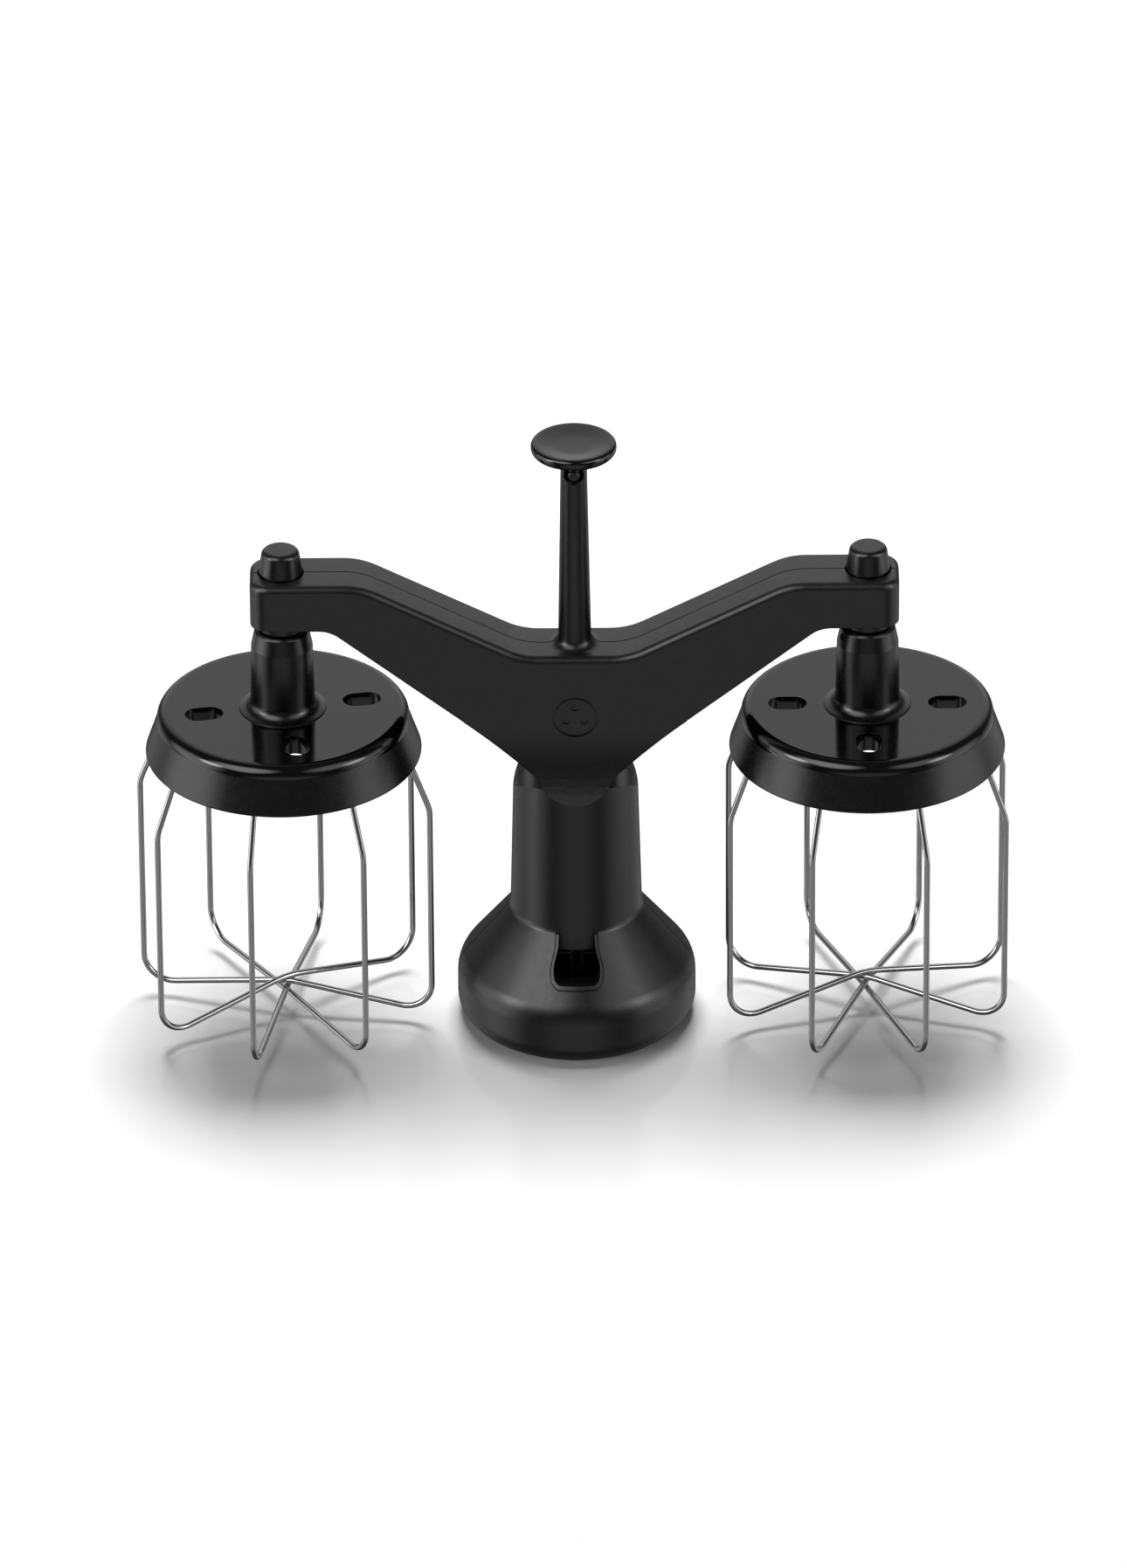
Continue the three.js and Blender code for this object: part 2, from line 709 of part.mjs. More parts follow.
/** Middle line of one half of a wire, from its end under the cap to the crossing. */
function halfWire(crossingZ) {
  const line = [
    [wireEndR, wireSeatZ],
    [wireSeatR - 1, wireSeatZ],
    [wireSeatR, wireSeatZ - 0.5],
    [capRimInnerR - 1.2, capRimZ],
    [wireCageR - 0.7, wireKinkZ + 2.6],
    [wireCageR, wireKinkZ - 2.6],
  ];
  const centreR = wireCageR - wireCornerR;
  for (let k = 0; k <= 4; k++) {
    const angle = -90 * DEG * k / 4;
    line.push([centreR + wireCornerR * Math.cos(angle), wireLowZ + wireCornerR * (1 + Math.sin(angle))]);
  }
  const rise = crossingZ - wireLowZ;
  for (const share of [0.6, 0.2]) {
    line.push([centreR * share, wireLowZ + rise * (1 - share) ** 2]);
  }
  return line;
}

/** One wire: both halves in the XZ plane, crossing the axis at the height of its place in the stack. */
function whiskWire(place) {
  const crossingZ = 4.8 + wireStepZ * place;
  const half = halfWire(crossingZ);
  const there = half.map(([r, z]) => new THREE.Vector3(r, 0, z));
  const back = half.map(([r, z]) => new THREE.Vector3(-r, 0, z)).reverse();
  return bar([...there, new THREE.Vector3(0, 0, crossingZ), ...back], wireR, 6);
}

// ---------------------------------------------------------------- drive shaft

/** Dished push knob on top of the drive shaft. */
function knob() {
  return turned([
    [0, 158.3],
    [chimneyBoreR - 0.1, 158.3],
    [chimneyBoreR - 0.1, 156.2],
    [6.5, 156.2],
    [9.2, 156.9],
    ...arc(9.3, 158.6, 1.25, -40, 80, 3),
    [8.2, 159.5],
    [4, 159.1],
    [0, 159],
  ], 24);
}

/** Steel rod with a hexagonal driving end. */
function driveRod() {
  const rod = cylinder(1.8, 21.5, 158, 12);
  const tip = prism(hexagon(1.75), 8, 22);
  const crossHole = cylinderAlongY(0, 151.6, 0.95, -3, 3, 10);
  return join(rod, tip).subtract(crossHole);
}

/** Lug that stands out of the rod into the chimney's notch. */
function driveLug() {
  const lug = turned([
    [0, -1.6],
    [0.65, -1.6],
    [0.65, 2.1],
    [1.5, 2.1],
    [1.5, 2.7],
    [1.1, 3.1],
    [0, 3.1],
  ], 12);
  return lug.rotate([90, 0, 0]).translate([0, 0, 151.6]);
}

// ---------------------------------------------------------------- assembly

const whiskHead = new THREE.Group();

/** Add a named piece to a group. */
function addPiece(group, name, piece, finish) {
  const geometry = piece.isBufferGeometry ? piece : geometryOf(piece);
  const mesh = new THREE.Mesh(geometry, new THREE.MeshStandardMaterial(finish));
  mesh.name = name;
  group.add(mesh);
  return mesh;
}

/** Group placed along an arm shaft: its Z runs from the inner apex outwards along the shaft. */
function shaftGroup(parent) {
  const group = new THREE.Group();
  group.position.z = innerApexZ;
  group.rotation.y = 90 * DEG - shaftTilt;
  parent.add(group);
  return group;
}

/** Everything that belongs to one arm, built for the right and turned half round for the left. */
function addArm(side, turn, whiskTurn) {
  const arm = new THREE.Group();
  arm.rotation.z = turn;
  whiskHead.add(arm);

  const shaft = shaftGroup(arm);
  addPiece(shaft, `${side}_arm_shaft`, armShaft(), acetal);
  addPiece(shaft, `${side}_inner_pinion`, innerPinion(), acetal);
  ['inner', 'outer'].forEach((place, i) => {
    const { along, seatR } = bearingSpots[i];
    addPiece(shaft, `${side}_${place}_bearing`, armBearing(seatR), acetal).position.z = along;
  });

  const tower = new THREE.Group();
  tower.position.x = whiskAxisX;
  arm.add(tower);
  addPiece(tower, `${side}_spindle_gear`, spindleGear(), acetal);
  addPiece(tower, `${side}_neck_bush`, neckBush(), satinBlack);
  addPiece(tower, `${side}_eject_button`, ejectButton(), satinBlack);
  addPiece(tower, `${side}_button_spring`, buttonSpring(), springSteel);

  const whisk = new THREE.Group();
  whisk.rotation.z = whiskTurn;
  tower.add(whisk);
  addPiece(whisk, `${side}_spindle`, spindle(), brightSteel);
  addPiece(whisk, `${side}_whisk_cap`, whiskCap(), glossBlack);
  addPiece(whisk, `${side}_grip_ring`, gripRing(), softRubber);
  addPiece(whisk, `${side}_wire_lock_ring`, wireLockRing(), satinBlack);
  const stackOrder = [3, 1, 0, 2];
  for (let k = 0; k < wiresPerWhisk; k++) {
    const wire = addPiece(whisk, `${side}_wire_${k + 1}`, whiskWire(stackOrder[k]), brightSteel);
    wire.rotation.z = (22.5 + 45 * k) * DEG;
  }
}

/** The two shells, their screws, the sun gear's bush and the pieces on the column's axis. */
function addBody() {
  const whole = housingSolid();
  addPiece(whiskHead, 'front_housing', housingShell(whole, -1), satinBlack);
  addPiece(whiskHead, 'rear_housing', housingShell(whole, 1), satinBlack);
  let number = 1;
  for (const [x, z] of screwSpots) {
    for (const side of [1, -1]) {
      const screw = addPiece(whiskHead, `housing_screw_${number}`, housingScrew(), brightSteel);
      screw.position.set(side * x, 0, z);
      number += 1;
    }
  }
  addPiece(whiskHead, 'sun_bush', ring(4.9, 7.4, 62, 84.6, 20), acetal);
  addPiece(whiskHead, 'sun_gear', sunGear(), acetal);
  addPiece(whiskHead, 'sun_socket', sunSocket(), acetal);
  addPiece(whiskHead, 'push_knob', knob(), glossBlack);
  addPiece(whiskHead, 'drive_rod', driveRod(), brightSteel);
  addPiece(whiskHead, 'drive_lug', driveLug(), satinBlack);
}

addBody();
addArm('right', 0, 0);
addArm('left', Math.PI, leftWhiskTurn);

export default whiskHead;
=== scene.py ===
"""Whisk head for a stand mixer bowl: the looks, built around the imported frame.

The sizes of the pieces are in millimetres and are turned to metres when a mesh is made. The whisks' axes
stand where the frame's spindles do. The other heights and widths are fields of the classes below.
"""

import json
import logging
import math
from dataclasses import dataclass, field
from enum import Enum
from typing import Any, Callable, Iterable, Optional, Sequence

import bmesh
import bpy
from mathutils import Matrix, Vector

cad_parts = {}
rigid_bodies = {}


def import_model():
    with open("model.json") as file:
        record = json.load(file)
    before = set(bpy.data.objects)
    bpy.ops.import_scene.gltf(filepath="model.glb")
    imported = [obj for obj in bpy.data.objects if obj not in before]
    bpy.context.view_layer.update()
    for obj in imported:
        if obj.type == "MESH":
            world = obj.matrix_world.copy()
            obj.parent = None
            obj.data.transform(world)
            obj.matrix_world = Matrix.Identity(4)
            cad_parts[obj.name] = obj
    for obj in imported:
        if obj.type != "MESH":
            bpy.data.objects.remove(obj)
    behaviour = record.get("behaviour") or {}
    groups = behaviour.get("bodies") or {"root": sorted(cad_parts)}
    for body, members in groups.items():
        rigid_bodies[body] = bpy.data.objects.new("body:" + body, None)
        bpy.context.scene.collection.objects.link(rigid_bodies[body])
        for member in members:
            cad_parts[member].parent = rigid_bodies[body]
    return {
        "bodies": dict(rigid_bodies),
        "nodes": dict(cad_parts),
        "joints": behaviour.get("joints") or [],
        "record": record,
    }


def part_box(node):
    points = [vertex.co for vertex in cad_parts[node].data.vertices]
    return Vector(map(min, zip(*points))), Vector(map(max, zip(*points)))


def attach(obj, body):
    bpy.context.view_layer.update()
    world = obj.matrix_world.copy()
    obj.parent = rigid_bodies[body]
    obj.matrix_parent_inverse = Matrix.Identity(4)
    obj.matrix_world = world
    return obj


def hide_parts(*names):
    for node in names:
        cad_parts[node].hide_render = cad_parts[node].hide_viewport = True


LOG = logging.getLogger("whisk_head")

MM = 0.001
GAP = 0.17  # half of the seam between the two housing shells

Corner = tuple[float, float, float]
Point2 = tuple[float, float]


class Side(Enum):
    """Which arm a piece belongs to, with the sign of its x."""

    LEFT = -1
    RIGHT = 1

    @property
    def word(self) -> str:
        """The word that starts the names of this arm's nodes."""
        return self.name.lower()


class Join(Enum):
    """How one solid is worked into another."""

    ADD = "UNION"
    CUT = "DIFFERENCE"


# ------------------------------------------------------------------ outlines


def rounded(corners: Sequence[Corner], closed: bool = False, step: float = 10.0) -> list[Point2]:
    """Turn corners into a line whose corners are arcs.

    Args:
        corners: Corner points as (across, up, radius), in millimetres.
        closed: True if the last corner runs on to the first.
        step: Largest turn of an arc from one point to the next, in degrees.

    Returns:
        The points of the line, in millimetres.
    """
    line: list[Point2] = []
    count = len(corners)
    for i, (across, up, radius) in enumerate(corners):
        at_end = not closed and i in (0, count - 1)
        corner = Vector((across, up))
        if at_end or radius == 0:
            line.append((across, up))
            continue
        back = (Vector(corners[i - 1][:2]) - corner).normalized()
        ahead = (Vector(corners[(i + 1) % count][:2]) - corner).normalized()
        half = back.angle(ahead) / 2
        centre = corner + (back + ahead).normalized() * (radius / math.sin(half))
        start = corner + back * (radius / math.tan(half)) - centre
        turn = math.pi - 2 * half
        way = -1.0 if back.x * ahead.y - back.y * ahead.x > 0 else 1.0
        steps = max(1, math.ceil(math.degrees(turn) / step))
        for k in range(steps + 1):
            spoke = Matrix.Rotation(way * turn * k / steps, 2) @ start
            line.append((centre.x + spoke.x, centre.y + spoke.y))
    return line


def stadium(length: float, width: float, step: float = 15.0) -> list[Point2]:
    """Outline of a slot with round ends, its length across.

    Args:
        length: Overall length, in millimetres.
        width: Overall width, in millimetres.
        step: Turn from one point to the next, in degrees.

    Returns:
        The outline's points, in millimetres.
    """
    reach = length / 2
    half = width / 2
    near = half - 0.01
    return rounded([(reach, -half, near), (reach, half, near), (-reach, half, near), (-reach, -half, near)],
                   True, step)


# ------------------------------------------------------------------ solids


def tidy(bm: bmesh.types.BMesh) -> bmesh.types.BMesh:
    """Merge doubled points and turn every face outwards.

    Args:
        bm: The solid, which is changed in place.

    Returns:
        The same solid.
    """
    bmesh.ops.remove_doubles(bm, verts=bm.verts, dist=1e-4)
    bmesh.ops.dissolve_degenerate(bm, edges=bm.edges, dist=1e-5)
    bmesh.ops.recalc_face_normals(bm, faces=bm.faces)
    return bm


def lathe(profile: Sequence[Point2], steps: int = 96) -> bmesh.types.BMesh:
    """Spin a profile round Z.

    Args:
        profile: Points as (radius, height), in millimetres. It starts and ends on the axis, or is closed up.
        steps: Number of faces round the axis.

    Returns:
        The closed solid, in millimetres.
    """
    bm = bmesh.new()
    verts = [bm.verts.new((r, 0, z)) for r, z in profile]
    edges = [bm.edges.new(pair) for pair in zip(verts, verts[1:])]
    if profile[0][0] > 0 or profile[-1][0] > 0:
        edges.append(bm.edges.new((verts[-1], verts[0])))
    bmesh.ops.spin(bm, geom=verts + edges, cent=(0, 0, 0), axis=(0, 0, 1), angle=2 * math.pi,
                   steps=steps, use_merge=True)
    return tidy(bm)


def plate(outline: Sequence[Point2], low_y: float, high_y: float) -> bmesh.types.BMesh:
    """Upright plate along Y with an outline in X and Z, in millimetres.

    Args:
        outline: Points as (x, z), in millimetres.
        low_y: Where the plate starts, in millimetres.
        high_y: Where it ends, in millimetres.

    Returns:
        The closed solid.
    """
    bm = bmesh.new()
    face = bm.faces.new([bm.verts.new((x, low_y, z)) for x, z in outline])
    grown = bmesh.ops.extrude_face_region(bm, geom=[face])
    moved = [item for item in grown["geom"] if isinstance(item, bmesh.types.BMVert)]
    bmesh.ops.translate(bm, vec=(0, high_y - low_y, 0), verts=moved)
    return tidy(bm)


def post(outline: Sequence[Point2], low_z: float, high_z: float) -> bmesh.types.BMesh:
    """Post along Z with an outline in X and Y, in millimetres.

    Args:
        outline: Points as (x, y), in millimetres.
        low_z: Where the post starts, in millimetres.
        high_z: Where it ends, in millimetres.

    Returns:
        The closed solid.
    """
    bm = plate([(x, y) for x, y in outline], low_z, high_z)
    bmesh.ops.transform(bm, matrix=Matrix(((1, 0, 0, 0), (0, 0, 1, 0), (0, 1, 0, 0), (0, 0, 0, 1))),
                        verts=bm.verts)
    return tidy(bm)


def rod(radius: float, low: float, high: float, steps: int = 48) -> bmesh.types.BMesh:
    """Plain cylinder along Z between two heights, in millimetres."""
    return lathe([(0, low), (radius, low), (radius, high), (0, high)], steps)


def moved(bm: bmesh.types.BMesh, matrix: Matrix) -> bmesh.types.BMesh:
    """Place a solid by a matrix whose shift is in millimetres."""
    bmesh.ops.transform(bm, matrix=matrix, verts=bm.verts)
    return bm


def along_y(bm: bmesh.types.BMesh, x: float, z: float) -> bmesh.types.BMesh:
    """Lay a solid that stands along Z along Y, head to the rear, through a point of the XZ plane."""
    return moved(bm, Matrix.Translation((x, 0, z)) @ Matrix.Rotation(math.radians(-90), 4, "X"))


def merged(parts: Iterable[bmesh.types.BMesh]) -> bmesh.types.BMesh:
    """Put solids that don't touch into one.

    Args:
        parts: The solids. They are used up.

    Returns:
        One mesh with all of them.
    """
    whole = bmesh.new()
    for part in parts:
        mesh = bpy.data.meshes.new("part")
        part.to_mesh(mesh)
        part.free()
        whole.from_mesh(mesh)
        bpy.data.meshes.remove(mesh)
    return whole


def worked(base: bmesh.types.BMesh, tool: bmesh.types.BMesh, how: Join) -> bmesh.types.BMesh:
    """Join a solid to another, or cut one with another.

    Args:
        base: The solid that is worked on. It is used up.
        tool: The other solid. It is used up.
        how: Which of the two it is.

    Returns:
        The new solid.
    """
    objects = []
    for bm in (base, tool):
        mesh = bpy.data.meshes.new("solid")
        bm.to_mesh(mesh)
        bm.free()
        obj = bpy.data.objects.new("solid", mesh)
        bpy.context.scene.collection.objects.link(obj)
        objects.append(obj)
    modifier = objects[0].modifiers.new("work", "BOOLEAN")
    modifier.operation = how.value
    modifier.solver = "EXACT"
    modifier.object = objects[1]
    graph = bpy.context.evaluated_depsgraph_get()
    result = bpy.data.meshes.new_from_object(objects[0].evaluated_get(graph))
    bm = bmesh.new()
    bm.from_mesh(result)
    for obj in objects:
        mesh = obj.data
        bpy.data.objects.remove(obj)
        bpy.data.meshes.remove(mesh)
    bpy.data.meshes.remove(result)
    bmesh.ops.remove_doubles(bm, verts=bm.verts, dist=2e-3)
    bmesh.ops.dissolve_degenerate(bm, edges=bm.edges, dist=1e-4)
    return bm


def sharp_edges(bm: bmesh.types.BMesh, inside: Callable[[Vector], bool],
                angle: float = 40.0) -> list[bmesh.types.BMEdge]:
    """Find sharp edges in a region.

    Args:
        bm: The solid.
        inside: Says whether a point belongs to the region.
        angle: Smallest angle between the edge's two faces, in degrees.

    Returns:
        The edges with both ends in the region.
    """
    limit = math.radians(angle)
    return [
        edge
        for edge in bm.edges
        if len(edge.link_faces) == 2
        and edge.calc_face_angle(0.0) > limit
        and all(inside(vert.co) for vert in edge.verts)
    ]


def round_off(bm: bmesh.types.BMesh, edges: Sequence[bmesh.types.BMEdge], radius: float,
              segments: int = 4) -> None:
    """Round edges off.

    Args:
        bm: The solid, which is changed in place.
        edges: The edges.
        radius: Radius of the rounding, in millimetres.
        segments: Number of faces across it.
    """
    bmesh.ops.bevel(bm, geom=list(edges), offset=radius, offset_type="OFFSET", segments=segments,
                    profile=0.5, affect="EDGES", material=-1, clamp_overlap=True)


def piece(name: str, bm: bmesh.types.BMesh, materials: Sequence[bpy.types.Material],
          body: str, nodes: Sequence[str], smooth: float = 32.0) -> bpy.types.Object:
    """Make a finished piece from a solid in millimetres and tie it to the frame.

    Args:
        name: Name of the piece.
        bm: The solid. It is used up.
        materials: Its materials, in the order of its faces' material numbers.
        body: The frame's body that it rides on.
        nodes: The frame's nodes that it stands for.
        smooth: Faces that meet at less than this angle are shaded as one, in degrees.

    Returns:
        The object.
    """
    bmesh.ops.scale(bm, vec=(MM, MM, MM), verts=bm.verts)
    limit = math.radians(smooth)
    for face in bm.faces:
        face.smooth = True
    for edge in bm.edges:
        edge.smooth = len(edge.link_faces) == 2 and edge.calc_face_angle(0.0) < limit
    mesh = bpy.data.meshes.new(name)
    bm.to_mesh(mesh)
    bm.free()
    for material in materials:
        mesh.materials.append(material)
    obj = bpy.data.objects.new(name, mesh)
    bpy.context.scene.collection.objects.link(obj)
    weighted = obj.modifiers.new("flat faces stay flat", "WEIGHTED_NORMAL")
    weighted.keep_sharp = True
    weighted.weight = 100
    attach(obj, body)
    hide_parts(*nodes)
    LOG.info("%s: %d faces, rides on %s", name, len(mesh.polygons), body)
    return obj


# ------------------------------------------------------------------ finishes


def linear(code: str) -> tuple[float, float, float, float]:
    """Linear colour of an sRGB hex code such as "1b1b1d".

    Args:
        code: The six digits, without a hash sign.

    Returns:
        Red, green, blue and an alpha of 1.
    """
    parts = [int(code[i:i + 2], 16) / 255 for i in (0, 2, 4)]
    red, green, blue = (v / 12.92 if v <= 0.04045 else ((v + 0.055) / 1.055) ** 2.4 for v in parts)
    return red, green, blue, 1.0


def add_node(tree: bpy.types.NodeTree, kind: str, settings: Optional[dict[str, Any]] = None,
             inputs: Optional[dict[Any, Any]] = None) -> bpy.types.Node:
    """Add a node to a tree.

    Args:
        tree: The node tree.
        kind: The node's type name.
        settings: Values for the node's own properties.
        inputs: For each input, by name or number, a plain value or the output socket that feeds it.

    Returns:
        The node.
    """
    node = tree.nodes.new(kind)
    for name, value in (settings or {}).items():
        setattr(node, name, value)
    for key, value in (inputs or {}).items():
        if isinstance(value, bpy.types.NodeSocket):
            tree.links.new(value, node.inputs[key])
        else:
            node.inputs[key].default_value = value
    return node


@dataclass(frozen=True)
class MouldedPlastic:
    """Injection-moulded black polymer: an even dark body whose gloss is set by the mould's own surface."""

    name: str
    colour: str
    roughness: float
    spread: float  # how far the roughness wanders
    grain_mm: float  # spacing of the mould's spark-eroded grain, drawn coarse enough to show
    grain_depth_mm: float
    wave_mm: float = 14.0  # spacing of the slow shrinkage waves under the surface
    wave_depth_mm: float = 0.012
    ior: float = 1.5

    def make(self) -> bpy.types.Material:
        """Build the material.

        Returns:
            The new material.
        """
        material = bpy.data.materials.new(self.name)
        material.use_nodes = True
        tree = material.node_tree
        shader = tree.nodes["Principled BSDF"]
        place = add_node(tree, "ShaderNodeTexCoord").outputs["Object"]
        grain = add_node(tree, "ShaderNodeTexNoise", {}, {
            "Vector": place, "Scale": 1 / (self.grain_mm * MM), "Detail": 2.0, "Roughness": 0.6})
        wave = add_node(tree, "ShaderNodeTexNoise", {}, {
            "Vector": place, "Scale": 1 / (self.wave_mm * MM), "Detail": 1.0, "Roughness": 0.4})
        wear = add_node(tree, "ShaderNodeTexNoise", {}, {
            "Vector": place, "Scale": 1 / (4.5 * self.grain_mm * MM), "Detail": 4.0, "Roughness": 0.65})
        rough = add_node(tree, "ShaderNodeMapRange", {}, {
            "Value": wear.outputs["Fac"], "From Min": 0.3, "From Max": 0.7,
            "To Min": self.roughness - self.spread, "To Max": self.roughness + self.spread})
        slow = add_node(tree, "ShaderNodeBump", {}, {
            "Height": wave.outputs["Fac"], "Distance": self.wave_depth_mm * MM, "Strength": 1.0})
        fine = add_node(tree, "ShaderNodeBump", {}, {
            "Height": grain.outputs["Fac"], "Distance": self.grain_depth_mm * MM, "Strength": 1.0,
            "Normal": slow.outputs["Normal"]})
        shader.inputs["Base Color"].default_value = linear(self.colour)
        shader.inputs["IOR"].default_value = self.ior
        tree.links.new(rough.outputs["Result"], shader.inputs["Roughness"])
        tree.links.new(fine.outputs["Normal"], shader.inputs["Normal"])
        return material


@dataclass(frozen=True)
class WorkedSteel:
    """Steel with fine marks left by drawing, grinding or turning, stretched along one direction."""

    name: str
    colour: str
    roughness: float
    spread: float
    mark_mm: float  # spacing of the marks across their run
    stretch: tuple[float, float, float]  # share of the spacing kept along X, Y and Z

    def make(self) -> bpy.types.Material:
        """Build the material.

        Returns:
            The new material.
        """
        material = bpy.data.materials.new(self.name)
        material.use_nodes = True
        tree = material.node_tree
        shader = tree.nodes["Principled BSDF"]
        place = add_node(tree, "ShaderNodeTexCoord").outputs["Object"]
        run = add_node(tree, "ShaderNodeMapping", {}, {"Vector": place, "Scale": self.stretch})
        marks = add_node(tree, "ShaderNodeTexNoise", {}, {
            "Vector": run.outputs["Vector"], "Scale": 1 / (self.mark_mm * MM),
            "Detail": 3.0, "Roughness": 0.6})
        rough = add_node(tree, "ShaderNodeMapRange", {}, {
            "Value": marks.outputs["Fac"], "From Min": 0.3, "From Max": 0.7,
            "To Min": self.roughness - self.spread, "To Max": self.roughness + self.spread})
        bump = add_node(tree, "ShaderNodeBump", {}, {
            "Height": marks.outputs["Fac"], "Distance": 0.002 * MM, "Strength": 1.0})
        shader.inputs["Base Color"].default_value = linear(self.colour)
        shader.inputs["Metallic"].default_value = 1.0
        tree.links.new(rough.outputs["Result"], shader.inputs["Roughness"])
        tree.links.new(bump.outputs["Normal"], shader.inputs["Normal"])
        return material


@dataclass
class Finishes:
    """All finishes of the head, one for each material slot and one for the skirts of the caps."""

    satin: bpy.types.Material = field(init=False)
    skirt: bpy.types.Material = field(init=False)
    gloss: bpy.types.Material = field(init=False)
    wire: bpy.types.Material = field(init=False)
    shaft: bpy.types.Material = field(init=False)
    screw: bpy.types.Material = field(init=False)
    spring: bpy.types.Material = field(init=False)
    acetal: bpy.types.Material = field(init=False)
    rubber: bpy.types.Material = field(init=False)

    def __post_init__(self) -> None:
        """Make every finish."""
        # Glass-filled nylon from a spark-eroded mould: a deep black with a soft, slightly sandy sheen.
        self.satin = MouldedPlastic("nylon_moulded_satin", "141416", 0.33, 0.05, 0.35, 0.008).make()
        # The same nylon from a finer mould: broad highlights, smoother than the housing's.
        self.skirt = MouldedPlastic("nylon_moulded_fine_satin", "0e0e0f", 0.27, 0.03, 0.45, 0.0012).make()
        # ABS from a polished mould: mirror-like black that bends reflections a little.
        self.gloss = MouldedPlastic("abs_moulded_polished", "060607", 0.10, 0.03, 0.8, 0.0006,
                                    wave_mm=9.0, wave_depth_mm=0.010).make()
        # Drawn stainless wire, tumbled bright: sharp streaky highlights along the wire.
        self.wire = WorkedSteel("stainless_drawn_bright", "acacad", 0.18, 0.05, 0.25, (1, 1, 0.15)).make()
        # Centreless-ground stainless bar: a bright grey with rings round the bar.
        self.shaft = WorkedSteel("stainless_ground", "b9bbbf", 0.24, 0.06, 0.2, (0.2, 0.2, 1)).make()
        # Zinc-plated steel screws: a duller, slightly blue grey.
        self.screw = WorkedSteel("steel_zinc_plated", "9fa3aa", 0.34, 0.08, 0.3, (1, 1, 1)).make()
        # Hard-drawn spring wire: dark grey with a drawn sheen.
        self.spring = WorkedSteel("spring_steel_drawn", "85878b", 0.3, 0.06, 0.2, (1, 1, 0.3)).make()
        # Natural acetal: waxy off-white gears and bearings.
        self.acetal = MouldedPlastic("acetal_moulded_natural", "e6e3da", 0.38, 0.05, 0.6, 0.004,
                                     ior=1.48).make()
        # Black nitrile rubber: dead matt, almost no highlight.
        self.rubber = MouldedPlastic("nitrile_rubber_moulded", "141414", 0.75, 0.05, 0.5, 0.01).make()

    def by_slot(self) -> dict[str, bpy.types.Material]:
        """The finish of each of the record's material slots."""
        return {
            "housing_black": self.satin,
            "gloss_black": self.gloss,
            "wire_steel": self.wire,
            "shaft_steel": self.shaft,
            "screw_steel": self.screw,
            "spring_steel": self.spring,
            "acetal": self.acetal,
            "black_rubber": self.rubber,
        }


# ------------------------------------------------------------------ housing


